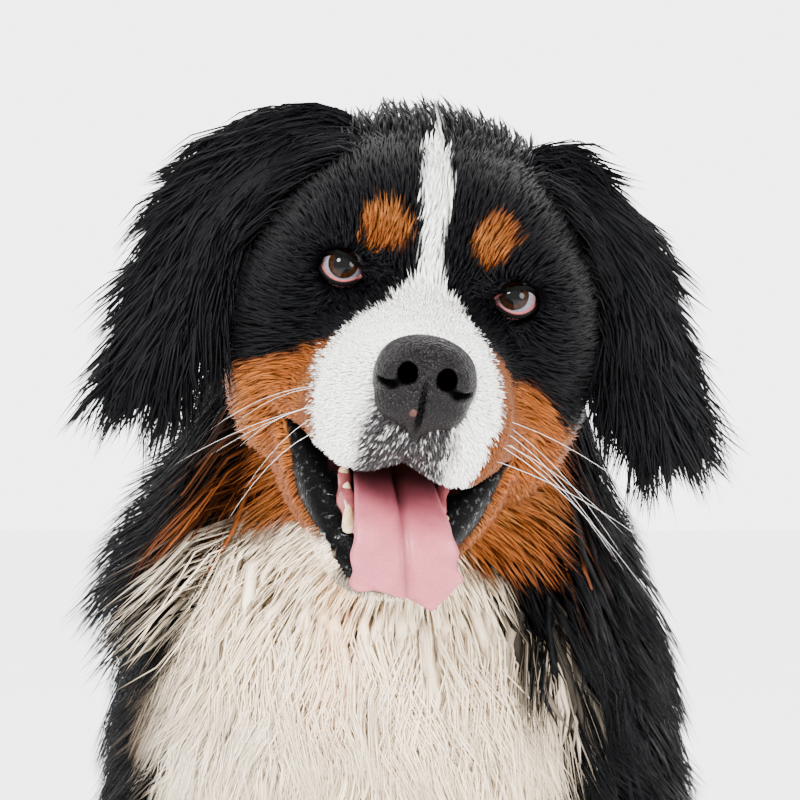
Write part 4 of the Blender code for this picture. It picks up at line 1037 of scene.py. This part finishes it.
def grow(name, roots, chance, length, width, lift, rings, every=0, pull=0.0, wave=0.0, ahead=0.0, thick=0.55,
         rise=1.0, **how):
    """One part of the coat on the skin, from its roots to its pieces.

    Every so many tufts draw together by a pull, wave by a share of their length, and take their colour from
    the skin that lies ahead by a share of it. Lift is a share of the coat's depth, and rise scales it.
    """
    places, uv = roots
    furred = ~bare_of(places)
    places, uv = places[furred], uv[furred]
    count = len(places)
    length = size_at(length, places) * chance.uniform(0.75, 1.2, count)
    width = size_at(width, places) * chance.uniform(0.7, 1.3, count)
    lift = chance.uniform(*lift, count) * size_at(rise, places)
    rails, outs = rails_on_skin(places, length, lift, rings, chance, **how)
    nearest = np.arange(count)
    if every:
        rails, nearest = gathered(rails, every, pull, chance)
    if wave:
        rails = waved(rails, outs, length * wave, 0.9, nearest, chance)
    rails[:, :, 2] = np.maximum(rails[:, :, 2], OFF_FLOOR)
    seen = places + (rails[:, rings // 2 + 1] - rails[:, 0]) * ahead
    colours = coat_colour(seen + chance.normal(size=seen.shape) * MARKS_SCATTER)
    white = colours[:, 2] > WHITE_BLUE
    black = colours[:, 0] < BLACK_RED
    for tone, rows in (("white", white), ("black", black), ("rust", ~white & ~black)):
        if rows.any():
            tuft_pieces(f"{name}_{tone}", rails[rows], outs[rows], width[rows], thick, colours[rows],
                        uv[rows], chance, "coat_" + tone, FURS[tone])


FURS = {
    "white": fur_material("white", roughness=0.60, shine=0.12, low=0.90, high=1.06),
    "black": fur_material("black", roughness=0.46, shine=0.052, low=0.60, high=1.40),
    "rust": fur_material("rust", roughness=0.55, shine=0.09, low=0.75, high=1.25),
}


def muzzle_length(p):
    return 0.0050 + 0.012 * face_zone(to_head(p))


def face_length(p):
    place = to_head(p)
    side = ramp(np.abs(place[:, 0]), 0.050, 0.085) * ramp(-place[:, 2], -0.01, 0.05)
    return 0.0070 + 0.018 * face_zone(place) + 0.018 * side * ramp(place[:, 1], -0.02, 0.03)


def backward(p):
    """0 over the brows to 1 at the back of the crown."""
    return ramp(to_head(p)[:, 1], 0.020, 0.085)


def crown_length(p):
    return 0.011 + 0.022 * backward(p)


def crown_rise(p):
    return 0.35 + 0.65 * backward(p)


def leg_length(p):
    return 0.012 + 0.05 * ramp(p[:, 2], 0.06, 0.30)


def grow_coat(points, faces, uvs):
    """All the fur that roots on the skin, part by part, with so many tufts to a square metre."""
    middles = points[faces].mean(axis=1)
    x, y, z = middles.T
    local = to_head(middles)
    aside, back, above = np.abs(local[:, 0]), local[:, 1], local[:, 2]
    head = (np.linalg.norm(local - (0, 0.03, -0.04), axis=1) < 0.155) & (back < 0.125) & (z > 0.66)
    head |= (back < -0.03) & (np.linalg.norm(local, axis=1) < 0.19)
    muzzle = head & (back < -0.02)
    neck = ~head & (z > 0.52) & (y < 0.06)
    breast = neck & (y < -0.04)
    mane = neck & (z > 0.655) & (local[:, 0] < -0.055)
    leg = (((z < 0.115) & (y < 0.30)) | ((z < 0.33) & (y < -0.02))) & (np.abs(x) > 0.05)
    crown = head & (back > 0.020) & (above > 0.01)
    temple = head & (back > 0.036) & (above > 0.012) & (aside > 0.034)
    front, seen = fall(back, 0.02, 0.08), ramp(z, 0.54, 0.60)
    pale = coat_colour(middles)[:, 2] > WHITE_BLUE
    drawn = 1.0

    def part(name, where, wanted, seed, length, width, lift, rings, **how):
        chance = np.random.default_rng(seed)
        roots = rooted(points, faces, uvs, np.where(where, wanted * drawn, 0.0) + 1e-9, chance)
        grow("fur_" + name, roots, chance, length, width, lift, rings, **how)

    part("muzzle", muzzle, 760000, 1, muzzle_length, 0.0011, (0.15, 0.7), 2, wander=0.16, ahead=0.7)
    part("face", head & ~muzzle, 170000 + 290000 * front, 2, face_length, 0.0014, (0.15, 0.8), 2, ahead=0.7)
    part("ruff", neck & ~breast, 80000, 3, 0.076, 0.0036, (0.35, 1.0), 3,
         every=9, pull=0.55, wave=0.10, ahead=0.5, thick=0.3)
    part("mane", mane, 90000, 8, 0.080, 0.0024, (1.1, 1.8), 3, every=9, pull=0.6, wave=0.1, ahead=0.4)
    part("breast", breast, 26000 + 14000 * seen, 4, 0.080, 0.0070, (0.45, 0.85), 4,
         every=5, pull=0.25, wave=0.12, ahead=0.5, thick=0.10)
    part("bib", breast, (20000 + 50000 * seen) * np.where(pale, 4.2, 1.0), 10, 0.084, 0.00115, (0.65, 1.1), 3,
         every=26, pull=0.75, wave=0.14, ahead=0.5)
    part("body", ~head & ~neck & ~leg, 18500, 5, 0.066, 0.0070, (0.35, 0.95), 3,
         every=5, pull=0.4, wave=0.07, thick=0.22)
    part("legs", leg, 30000, 6, leg_length, 0.0036, (0.25, 1.0), 2)
    part("crown", crown, 100000, 7, crown_length, 0.0016, (1.0, 2.0), 3,
         every=7, pull=0.45, wave=0.06, wander=0.20, ahead=0.6, stand=0.12, rise=crown_rise)
    part("temple", temple, 100000, 9, 0.046, 0.0019, (0.9, 1.9), 3,
         every=7, pull=0.5, wave=0.05, wander=0.16, stand=0.14, toward=temple_way)


def main():
    skin, points, faces = make_skin()
    uvs = unwrapped(skin)
    grow_coat(points, faces, uvs)
    make_nose()
    eye = painted_material("eye", 700.0, 0.8, 1.2, Roughness=0.12, Coat_Weight=0.16, Coat_Roughness=0.02)
    lid = painted_material("lid", 900.0, 0.75, 1.2, relief=0.0004, Roughness=0.42)
    for name in SIDES:
        make_eyeball(name, eye)
        make_lids(name, lid)
        make_ear(name)
    make_tongue()
    make_teeth()
    make_gums()
    make_whiskers()
    make_claws()


NOSE_STEP = 0.00095
NOSE_HALF = 0.033
NOSE_TRIANGLES = 30000
# painted shade: how dark the nostrils and the philtrum's groove are painted
HOLE_PAINTED_SHADE = 0.04
SPOT_PINK = NOSE_PINK * 45  # far above 1, as the leather's near-black is multiplied by it


def make_nose():
    middle = head_to_world(NOSE)
    axes = [np.arange(middle[n] - NOSE_HALF, middle[n] + NOSE_HALF, NOSE_STEP) for n in range(3)]
    points, faces = closed_surface(*sampled(axes, nose_field))
    points, faces = simplified("nose_raw", points, faces, NOSE_TRIANGLES)
    local = to_head(points)
    # painted shade in the nostrils and down the philtrum's groove
    holes = np.minimum(joined(NOSTRIL, local), joined(PHILTRUM, local) + 0.0004)
    colour = mixed(np.ones(3), np.full(3, HOLE_PAINTED_SHADE), fall(holes, 0.0, 0.0012))
    spot = fall(np.linalg.norm(local - NOSE_SPOT, axis=1), 0.0012, 0.0024)
    made = piece("nose_leather", points, faces, "nose_leather", leather_material(), ("nose",))
    painted(made, mixed(colour, SPOT_PINK, spot))


def ring_faces(count, rings, closed=False):
    """The triangles between rings of so many points each, and back to the first one where they close."""
    faces = []
    for ring in range(rings if closed else rings - 1):
        for n in range(count):
            a, b = ring * count + n, ring * count + (n + 1) % count
            c, d = ((corner + count) % (count * rings) for corner in (b, a))
            faces += [(a, b, c), (a, c, d)]
    return faces


def tube_mesh(rings, tip=None):
    """Points and triangles of a closed tube through rings of as many points each."""
    count = len(rings[0])
    faces = ring_faces(count, len(rings))
    last = (len(rings) - 1) * count
    ends = [np.mean(rings[0], axis=0), np.mean(rings[-1], axis=0) if tip is None else tip]
    points = np.concatenate((*rings, ends))
    for n in range(count):
        faces.append(((n + 1) % count, n, len(points) - 2))
        faces.append((last + n, last + (n + 1) % count, len(points) - 1))
    faces = np.array(faces)
    a, b, c = (points[faces[:, n]] for n in range(3))
    if (np.cross(a, b) * c).sum() < 0:
        faces = faces[:, ::-1]
    return points, faces


def gathered_mesh(parts):
    """Several meshes as one."""
    points, faces, start = [], [], 0
    for own, tris in parts:
        points.append(own)
        faces.append(tris + start)
        start += len(own)
    return np.concatenate(points), np.concatenate(faces)


def all_round(sides):
    """Angles evenly all the way round."""
    return np.arange(sides) * 2 * math.pi / sides


def circle(turns, across, up):
    """Ways at given angles in the plane of two others."""
    return np.cos(turns)[:, None] * across + np.sin(turns)[:, None] * up


def horn(root, tip, radius, bend, sides=10, steps=6):
    """A claw or a tooth: a round cone that bends by an offset at its middle."""
    root, tip, bend = (np.asarray(v, float) for v in (root, tip, bend))
    along = unit(tip - root)
    across = unit(np.cross(along, (0.31, 0.17, 0.94)))
    ways = circle(all_round(sides), across, np.cross(along, across))
    rings = []
    for step in range(steps):
        share = step / steps
        middle = root + (tip - root) * share + bend * 4 * share * (1 - share)
        rings.append(middle + ways * radius * math.sqrt(1 - share**1.6))
    return tube_mesh(rings, tip)


# Eyes.
GAZE = (-0.01, -1.0, 0.19)
PUPIL, IRIS, CORNEA = math.radians(24.0), math.radians(43.0), math.radians(47.0)
BULGE = 0.05
PUPIL_BLACK = np.array([0.002, 0.002, 0.002])
IRIS_INNER = np.array([0.012, 0.0050, 0.0024])
IRIS_OUTER = np.array([0.021, 0.0075, 0.0027])
# the white of the eye, painted a dark bluish grey as painted shade
SCLERA_IN_SHADE = np.array([0.125, 0.13, 0.155])
SCLERA_RED = np.array([0.25, 0.085, 0.085])
EYE_RINGS, EYE_AROUND = 56, 72
LID_RINGS, LID_AROUND = 72, 14
LID_HALF = np.array([0.0115, 0.0096])
LID_THICK = np.array([0.0014, 0.0020])  # off the eyeball, and along it
LID_OVER = 0.0006
LID_CORNERS = 0.22  # how much of its height the gap loses towards its corners
LID_LOWER, LID_UPPER = 0.80, 0.72
LID_SLANT = 0.0012  # the outer corner is higher
HAW = np.array([0.24, 0.066, 0.066])
EYE_SPLAY = math.radians(15.0)


def make_eyeball(name, material):
    """An eyeball round the gaze, with zones of pupil, streaked iris and a white that is painted grey as
    shade.
    """
    centre = head_to_world(EYE * (SIDES[name], 1, 1))
    gaze = unit(GAZE)
    across = unit(np.cross(gaze, (0, 0, 1)))
    turns = all_round(EYE_AROUND)
    ways = circle(turns, across, np.cross(across, gaze))
    streak = 0.75 + 0.25 * np.sin(turns * 23) * np.sin(turns * 9 + 1)
    rings, colours = [], []
    for ring in range(1, EYE_RINGS):
        angle = math.pi * (ring / EYE_RINGS) ** 1.25
        radius = EYE_RADIUS * (1 + BULGE * max(1 - (angle / CORNEA) ** 2, 0.0))
        rings.append(centre + radius * (math.cos(angle) * gaze + math.sin(angle) * ways))
        if angle < PUPIL:
            colour = np.tile(PUPIL_BLACK, (EYE_AROUND, 1))
        elif angle < IRIS:
            share = (angle - PUPIL) / (IRIS - PUPIL)
            colour = IRIS_INNER + (IRIS_OUTER - IRIS_INNER) * share
            colour = colour * streak[:, None] * (1 - 0.75 * ramp(share, 0.82, 1.0))
        else:
            # the white, painted grey as shade, going to red towards the back
            colour = SCLERA_IN_SHADE + (SCLERA_RED - SCLERA_IN_SHADE) * ramp(np.full(EYE_AROUND, angle), IRIS, 1.6)[:, None]
        colours.append(colour)
    points, faces = tube_mesh(rings)
    points[-2] = centre + gaze * EYE_RADIUS * (1 + BULGE)
    points[-1] = centre - gaze * EYE_RADIUS
    made = piece("eyeball_" + name, points, faces, "eye", material, ("eye_" + name,))
    painted(made, np.concatenate(colours + [[PUPIL_BLACK, SCLERA_RED]]))


def make_lids(name, material):
    """The lids as one soft ring on the eyeball, its lower inner edge pink."""
    side = SIDES[name]
    splay = turned("Z", EYE_SPLAY * side)
    reach = EYE_RADIUS + LID_OVER
    points, colours = [], []
    for step in range(LID_RINGS):
        turn = 2 * math.pi * step / LID_RINGS
        out = LID_HALF[0] * math.cos(turn)
        lower = math.sin(turn) < 0
        up = LID_HALF[1] * math.sin(turn) * (1 - LID_CORNERS * math.cos(turn) ** 2)
        up = up * (LID_LOWER if lower else LID_UPPER) + LID_SLANT * math.cos(turn)
        ahead = math.sqrt(max(reach**2 - out**2 - up**2, (0.25 * reach) ** 2))
        centre = splay @ np.array([out * side, -ahead, up]) + EYE * (side, 1, 1)
        away = splay @ unit([out * side, -ahead, up])
        around = splay @ unit([math.cos(turn) * side, 0, math.sin(turn)])
        for n in range(LID_AROUND):
            angle = 2 * math.pi * n / LID_AROUND
            thick = LID_THICK * (0.95 if lower else 0.85)
            points.append(centre + math.cos(angle) * away * thick[0] + math.sin(angle) * around * thick[1])
            pink = ramp(-math.sin(turn), 0.2, 0.7) * ramp(-math.sin(angle), 0.45, 0.85)
            inner = ramp(-math.cos(turn), 0.80, 0.95) * 0.6 * ramp(-math.sin(angle), 0.1, 0.6)
            colours.append(LIP + (HAW - LIP) * max(pink, inner))
    faces = np.array(ring_faces(LID_AROUND, LID_RINGS, closed=True))
    if side < 0:
        faces = faces[:, [0, 2, 1]]
    made = piece("lids_" + name, head_to_world(np.array(points)), faces, "nose_leather", material)
    painted(made, np.array(colours))


# Mouth.
TONGUE_ROUTE = (
    (0.000, 0.030, -0.098),
    (0.000, -0.015, -0.103),
    (0.002, -0.052, -0.108),
    (0.0055, -0.073, -0.117),
    (0.0090, -0.082, -0.130),
    (0.0120, -0.083, -0.142),
    (0.0145, -0.080, -0.150),
)
TONGUE_HALF_WIDTHS = (0.0190, 0.0215, 0.0228, 0.0248, 0.0268, 0.0280, 0.0240)
TONGUE_THICK = 0.0040
TONGUE_TIP = 0.006
TONGUE_RINGS, TONGUE_ACROSS = 84, 22
TONGUE_PINK = np.array([0.34, 0.068, 0.094])
TONGUE_PALE = np.array([0.38, 0.092, 0.118])
TONGUE_TOP = np.array([0.0, -1.0, 0.6])


def smooth_line(points, count):
    """Points evenly along a soft curve through the given ones."""
    points = np.asarray(points, float)
    if points.ndim == 1:
        points = points[:, None]
    padded = np.concatenate((2 * points[:1] - points[1:2], points, 2 * points[-1:] - points[-2:-1]))
    places = np.linspace(0, len(points) - 1, count)
    start = np.minimum(places.astype(int), len(points) - 2)
    t = (places - start)[:, None]
    p0, p1, p2, p3 = (padded[start + n] for n in range(4))
    bend = (2 * p0 - 5 * p1 + 4 * p2 - p3) * t**2
    return 0.5 * (2 * p1 + (p2 - p0) * t + bend + (3 * p1 - p0 - 3 * p2 + p3) * t**3)


TONGUE_GROOVE = 0.0034
TONGUE_CURL = 0.0035
TONGUE_RIM = 0.0016


def tongue_lobe(u):
    """How far the tip reaches at a place across the tongue, as it hangs to one side."""
    return 0.0095 * math.exp(-(((u - 0.70) / 0.26) ** 2)) - 0.0065 * math.exp(-(((u + 0.80) / 0.32) ** 2))


def make_tongue():
    """The tongue along its route, with a groove, a wavy rim and a tip that hangs to one side."""
    route = head_to_world(smooth_line(TONGUE_ROUTE, TONGUE_RINGS))
    halves = smooth_line(TONGUE_HALF_WIDTHS, TONGUE_RINGS)[:, 0]
    halves[-6:] *= np.linspace(1.0, 0.72, 6)
    ahead = unit(np.gradient(route, axis=0))
    evenly = [2 * m / TONGUE_ACROSS - 1 for m in range(TONGUE_ACROSS + 1)]
    around = [(u, 1) for u in evenly] + [(-u, -1) for u in evenly[1:-1]]
    rings, colours = [], []
    for n in range(TONGUE_RINGS):
        along = n / (TONGUE_RINGS - 1)
        across = unit(HEAD_AXES[:, 0] - (HEAD_AXES[:, 0] @ ahead[n]) * ahead[n])
        up = np.cross(across, ahead[n])
        up = up * np.sign(up @ HEAD_AXES @ TONGUE_TOP)
        half = halves[n] * (1 + 0.045 * math.sin(along * 31) * ramp(along, 0.45, 0.7))
        curl = TONGUE_CURL * ramp(along, 0.5, 0.8) * math.sin(along * 24 + 1)
        ring = []
        for u, sign in around:
            body = TONGUE_THICK * math.sqrt(max(1 - u * u, 0.0)) * sign
            groove = TONGUE_GROOVE * math.exp(-((u / 0.09) ** 2)) * (sign > 0) * fall(along, 0.85, 0.98)
            edge = (curl * np.sign(u) + TONGUE_RIM) * u * u * u * u
            place = route[n] + across * half * u + up * (body - groove + edge)
            ring.append(place + ahead[n] * tongue_lobe(u) * ramp(along, 0.80, 1.0))
            # painted shade: darker along the groove down the middle of the top, and far darker towards the
            # back, where the tongue lies under the upper lips
            painted_shade = 1 - 0.45 * math.exp(-((u / 0.07) ** 2)) * (sign > 0)
            painted_shade *= 0.10 + 0.90 * ramp(along, 0.16, 0.42)
            pale = abs(u) ** 2 * 0.7 + 0.3 * along
            colours.append((TONGUE_PINK + (TONGUE_PALE - TONGUE_PINK) * pale) * painted_shade)
        rings.append(np.array(ring))
    points, faces = tube_mesh(rings, route[-1] + ahead[-1] * TONGUE_TIP * 0.5)
    made = piece("tongue_flesh", points, faces, "tongue", tongue_material(), ("tongue",))
    painted(made, np.concatenate((colours, [TONGUE_PINK, TONGUE_PALE])))


TEETH = (
    ((0.0185, -0.055, -0.132), (0.0228, -0.061, -0.1130), 0.0042),
    ((0.0238, -0.040, -0.116), (0.0243, -0.041, -0.1050), 0.0036),
    ((0.0262, -0.028, -0.110), (0.0270, -0.029, -0.0985), 0.0042),
    ((0.0290, -0.012, -0.104), (0.0300, -0.013, -0.0930), 0.0048),
)
UNDER_TONGUE = (0.0055, 0.0, -0.0080)  # moves the teeth of the dog's left side clear of the tongue
INCISORS = 6
INCISOR_GAP = 0.0042
INCISOR_RADIUS = 0.0023


def make_teeth():
    """The lower teeth: four on each side, and a row of small ones between."""
    enamel = plain_material("tooth", (0.62, 0.50, 0.31), (0.34, 0.20, 0.075), 160.0, 0.0002, Roughness=0.35)
    parts = []
    for root, tip, radius in TEETH:
        for side in (1, -1):
            mirror = np.array([side, 1, 1])
            out = np.array(UNDER_TONGUE) * (side > 0)
            root_at, tip_at = (head_to_world(np.array(v) * mirror + out) for v in (root, tip))
            parts.append(horn(root_at, tip_at, radius, (0, 0.0012, 0)))
    for n in range(INCISORS):
        out = (n - (INCISORS - 1) / 2) * INCISOR_GAP
        ends = ((out, -0.0625, -0.131), (out * 1.1, -0.0655, -0.1205))
        parts.append(horn(*(head_to_world(end) for end in ends), INCISOR_RADIUS, (0, 0, 0)))
    piece("teeth", *gathered_mesh(parts), "coat_white", enamel)


GUM_SIDE = (
    (-0.0315, 0.004, -0.0960),
    (-0.0270, -0.024, -0.1055),
    (-0.0230, -0.044, -0.1150),
    (-0.0165, -0.055, -0.1275),
    (-0.0080, -0.060, -0.1320),
)
GUM_RADIUS = 0.0046
GUM_UNEVEN = 0.0008


def make_gums():
    """The pink ridge that the lower teeth stand in."""
    gum = plain_material("gum", (0.26, 0.062, 0.065), (0.12, 0.027, 0.030), 120.0, 0.0005,
                         Roughness=0.25, Coat_Weight=0.2)
    line = list(GUM_SIDE) + [(-x, y, z) for x, y, z in GUM_SIDE[::-1]]
    route = head_to_world(smooth_line(line, 60))
    ahead = unit(np.gradient(route, axis=0))
    rings = []
    for n, place in enumerate(route):
        across = unit(np.cross(ahead[n], HEAD_AXES[:, 2]))
        radius = GUM_RADIUS + GUM_UNEVEN * math.sin(n * 1.1)
        rings.append(place + radius * circle(all_round(12), across, np.cross(across, ahead[n])))
    piece("gums", *tube_mesh(rings), "tongue", gum)


WHISKERS_EACH_SIDE = 7
WHISKER_STEPS = 8
WHISKER_RADIUS = 0.00014


def make_whiskers():
    """Rows of whiskers on the upper lips, each thin and drooping."""
    hair = plain_material("whisker", (0.80, 0.79, 0.77), (0.62, 0.61, 0.60), 300.0, 0.0001, Roughness=0.35)
    chance = np.random.default_rng(90)
    parts = []
    for side in (1, -1):
        for n in range(WHISKERS_EACH_SIDE):
            row, column = divmod(n, 3)
            root = np.array([(0.0300 + 0.004 * row) * side, -0.094 + 0.012 * column, -0.052 - 0.009 * row])
            root = head_to_world(root + chance.normal(size=3) * 0.0012)
            way = [side * chance.uniform(0.8, 1.1), chance.uniform(-0.15, 0.45), chance.uniform(-0.35, 0.10)]
            way = unit(np.array(way) @ HEAD_AXES.T)
            length = chance.uniform(0.055, 0.105)
            droop = np.array([0, 0, -chance.uniform(0.018, 0.048)])
            rails = [root + way * length * t + droop * t * t for t in np.linspace(0, 1, WHISKER_STEPS + 1)]
            ahead = unit(np.gradient(np.array(rails), axis=0))
            rings = []
            for k, place in enumerate(rails[:-1]):
                across = unit(np.cross(ahead[k], (0.2, 0.3, 0.9)))
                radius = WHISKER_RADIUS * (1 - 0.8 * k / WHISKER_STEPS)
                rings.append(place + radius * circle(all_round(5), across, np.cross(ahead[k], across)))
            parts.append(tube_mesh(rings, rails[-1]))
    piece("whiskers", *gathered_mesh(parts), "coat_white", hair)


def make_claws():
    horny = plain_material("claw", (0.030, 0.024, 0.020), (0.10, 0.08, 0.065), 150.0, 0.0003, Roughness=0.30)
    parts = []
    for place in (FOREPAW, HINDPAW):
        for side in (1, -1):
            for out, ahead in zip(TOE_OUT, TOE_AHEAD):
                front = place + (out, -ahead - TOE_RADII[1] + 0.004, 0.0165)
                root = front + (0, 0.007, 0.002)
                tip = front + (out * 0.06, -0.0125, -0.0100)
                mirror = np.array([side, 1, 1])
                parts.append(horn(root * mirror, tip * mirror, 0.0040, (0, -0.0012, 0.0020)))
    piece("claws", *gathered_mesh(parts), "nose_leather", horny)


# Ears.
EAR_ROUTES = {
    "left": (
        (0.040, 0.088, 0.036), (0.060, 0.084, 0.056), (0.0860, 0.075, 0.044),
        (0.108, 0.066, 0.014), (0.122, 0.060, -0.016), (0.133, 0.052, -0.042),
    ),
    "right": (
        (-0.043, 0.086, 0.036), (-0.066, 0.084, 0.057), (-0.091, 0.076, 0.050),
        (-0.112, 0.066, 0.020), (-0.125, 0.056, -0.022), (-0.133, 0.046, -0.064),
    ),
}
EAR_FACING = (0.50, -0.82, 0.28)
EAR_HALF_WIDTHS = (0.014, 0.020, 0.025, 0.027, 0.026, 0.021, 0.010)
EAR_THICK = 0.0030
EAR_CUP = 0.010
EAR_LINE = 61
EAR_RINGS, EAR_ACROSS = 36, 20
EAR_TUFTS = 6200
EAR_STATIONS = 3
EAR_LOCK = 11  # so many tufts of an ear draw together
EAR_PULL = 0.62
EAR_FACE_SHARE = 0.66  # of the tufts, on the outer face
EAR_DOWN = HEAD_AXES.T @ np.array([0.0, 0.0, -1.0])


def ear_line(name, along):
    """Points along an ear's middle, from its root in the skull to its tip."""
    line = smooth_line(EAR_ROUTES[name], EAR_LINE)
    return np.stack([np.interp(along, np.linspace(0, 1, EAR_LINE), line[:, n]) for n in range(3)], axis=1)


def ear_places(name, along, u, sign):
    """Points of an ear's leaf in the head's frame, with the ways along, across and out of its face there."""
    facing = unit(np.array(EAR_FACING) * (SIDES[name], 1, 1))
    centre = ear_line(name, along)
    ahead = unit(ear_line(name, along + 0.05) - ear_line(name, along - 0.05))
    across = unit(np.cross(facing, ahead))
    out = np.cross(ahead, across)
    out = out * np.sign(out @ facing)[:, None]
    half = np.interp(along, np.linspace(0, 1, len(EAR_HALF_WIDTHS)), EAR_HALF_WIDTHS)
    body = EAR_THICK * np.sqrt(np.maximum(1 - u**4, 0.0)) * sign
    cup = EAR_CUP * (1 - 0.5 * along)
    place = centre + across * (half * u)[:, None] + out * (body - cup * u * u)[:, None]
    return place, ahead, across, out


def ear_uv(along, u, sign):
    """Where a point of an ear lies on its unwrap, its face beside its back."""
    return np.stack((along, np.where(sign > 0, (u + 1) / 4, 1 - (u + 1) / 4)), axis=1)


def make_ear(name):
    """An ear's leaf, and the tufts that hang from both its faces and its rim."""
    side = SIDES[name]
    rings, uvs = [], []
    evenly = np.arange(EAR_ACROSS + 1) * 2 / EAR_ACROSS - 1
    u = np.concatenate((evenly, -evenly[1:-1]))
    sign = np.where(np.arange(len(u)) < len(evenly), 1.0, -1.0)
    for share in np.linspace(0, 1, EAR_RINGS):
        along = np.full(len(u), share)
        rings.append(head_to_world(ear_places(name, along, u, sign)[0]))
        uvs.append(ear_uv(along, u, sign))
    points, faces = tube_mesh(rings)
    uvs = np.concatenate(uvs + [[(0.0, 0.25), (1.0, 0.25)]])
    made = piece("ear_skin_" + name, points, faces, "coat_black", skin_material(), ("ear_" + name,))
    painted(made, np.tile(BLACK, (len(points), 1)))
    uv_layer(made, "OFBake", uvs[faces.ravel()])
    chance = np.random.default_rng(60 + (side > 0))
    count = int(EAR_TUFTS * (1.0))
    along = chance.uniform(0.0, 1.0, count) ** 0.95
    u = np.sin(chance.uniform(-math.pi / 2, math.pi / 2, count))
    sign = np.where(chance.random(count) < EAR_FACE_SHARE, 1.0, -1.0)
    place, ahead, across, out = ear_places(name, along, u, sign)
    outward = across * np.sign((across * (side, 0, 0)).sum(axis=1))[:, None]
    lateral = across * (u * 0.30 * ramp(along, 0.05, 0.50))[:, None]
    lateral = lateral + outward * (0.02 + 0.34 * along[:, None] ** 1.5)
    rim = np.abs(u) ** 3
    length = (0.022 + 0.040 * along + 0.016 * rim) * chance.uniform(0.65, 1.15, count)
    p = place - out * sign[:, None] * 0.0008
    rails = [p]
    loose = chance.normal(size=(count, 3)) * 0.10 + ripple(place, 0.02, 50 + side)[:, None] * across * 0.16
    for station in range(1, EAR_STATIONS + 1):
        s = station / EAR_STATIONS
        way = ahead * (1.0 - 0.35 * s) + EAR_DOWN * (0.10 + 0.50 * s) + lateral * (0.75 + 0.35 * s)
        way = way + out * (sign * (0.26 - 0.46 * s))[:, None] + loose
        p = p + unit(way) * (length / EAR_STATIONS)[:, None]
        rails.append(p)
    rails = head_to_world(np.stack(rails, axis=1))
    outs = np.repeat(((out * sign[:, None]) @ HEAD_AXES.T)[:, None], EAR_STATIONS + 1, axis=1)
    rails, nearest = gathered(rails, EAR_LOCK, EAR_PULL, chance, rails[:, 0] + outs[:, 0] * 0.03)
    rails = waved(rails, outs, length * 0.10, 0.5, nearest, chance)
    widths = chance.uniform(0.0011, 0.0024, count) * (1 - 0.25 * rim)
    tuft_pieces("fur_ear_" + name, rails, outs, widths, 0.5, np.tile(BLACK, (count, 1)),
                ear_uv(along, u, sign), chance, "coat_black", FURS["black"])


# The studio.
FLOOR_SIZE = 12
FLOOR_GLOW = 1.15
LIGHTS_BELOW = 0.15  # they aim at a point so far below the eyes
# Each light's place from the point that it aims at, its size and its power.
LIGHTS = {
    "key": ((-1.3, -2.0, 1.6), 0.9, 270.0),
    "fill": ((2.0, -1.8, 0.6), 1.4, 150.0),
    "rim": ((0.4, 1.8, 1.8), 1.2, 10.0),
}
WORLD_LIGHT = {"From Min": -0.1, "From Max": 0.6, "To Min": 2.2, "To Max": 4.8}  # weaker ahead of the dog


def put_facing(made, place, way):
    """Puts a light or the camera at a place, looking along a way."""
    made.location = place
    made.rotation_mode = "QUATERNION"
    made.rotation_quaternion = way.to_track_quat("-Z", "Y")
    bpy.context.scene.collection.objects.link(made)


def make_floor():
    bpy.ops.mesh.primitive_plane_add(size=FLOOR_SIZE)
    ground = bpy.context.object
    ground.name = "floor"
    nodes = Nodes("floor", Roughness=0.8, Emission_Strength=FLOOR_GLOW, Emission_Color=opaque(1.0))
    grain = nodes.spread(nodes.noise(3.0, 4.0), 0.3, 0.7, 0, 1)
    nodes.link(nodes.mix(grain, opaque(0.90), opaque(0.93)), "Base Color")
    ground.data.materials.append(nodes.material)


def make_lights():
    world = bpy.data.worlds.new("studio")
    bpy.context.scene.world = world
    world.use_nodes = True
    tree = world.node_tree
    backdrop = tree.nodes["Background"]
    backdrop.inputs["Color"].default_value = opaque(1.0)
    toward = add_node(tree, "ShaderNodeTexCoord").outputs["Generated"]
    split = add_node(tree, "ShaderNodeSeparateXYZ", {0: toward})
    strength = add_node(tree, "ShaderNodeMapRange", {"Value": split.outputs["Y"], **WORLD_LIGHT})
    tree.links.new(strength.outputs["Result"], backdrop.inputs["Strength"])
    aim = Vector(EYE_MIDDLE + SHIFT) - Vector((0, 0, LIGHTS_BELOW))
    for name, (place, size, power) in LIGHTS.items():
        light = bpy.data.lights.new(name, "AREA")
        light.shape, light.size, light.energy = "DISK", size, power
        put_facing(bpy.data.objects.new(name, light), aim + Vector(place), -Vector(place))


AIM = (-0.0153, 0.0, -0.0616)  # the middle of the photo, from between the eyes
CAMERA_AWAY = 1.8
CAMERA_UP = math.radians(4.0)
PHOTO_WIDTH = 0.421
SENSOR = 36.0


def make_camera():
    camera = bpy.data.cameras.new("camera")
    camera.sensor_width = SENSOR
    camera.lens = SENSOR * CAMERA_AWAY / PHOTO_WIDTH
    made = bpy.data.objects.new("camera", camera)
    back = Vector((0.0, -math.cos(CAMERA_UP), math.sin(CAMERA_UP)))
    put_facing(made, Vector(EYE_MIDDLE + SHIFT) + Vector(AIM) + back * CAMERA_AWAY, -back)
    bpy.context.scene.camera = made


make_camera()
make_floor()
make_lights()
main()
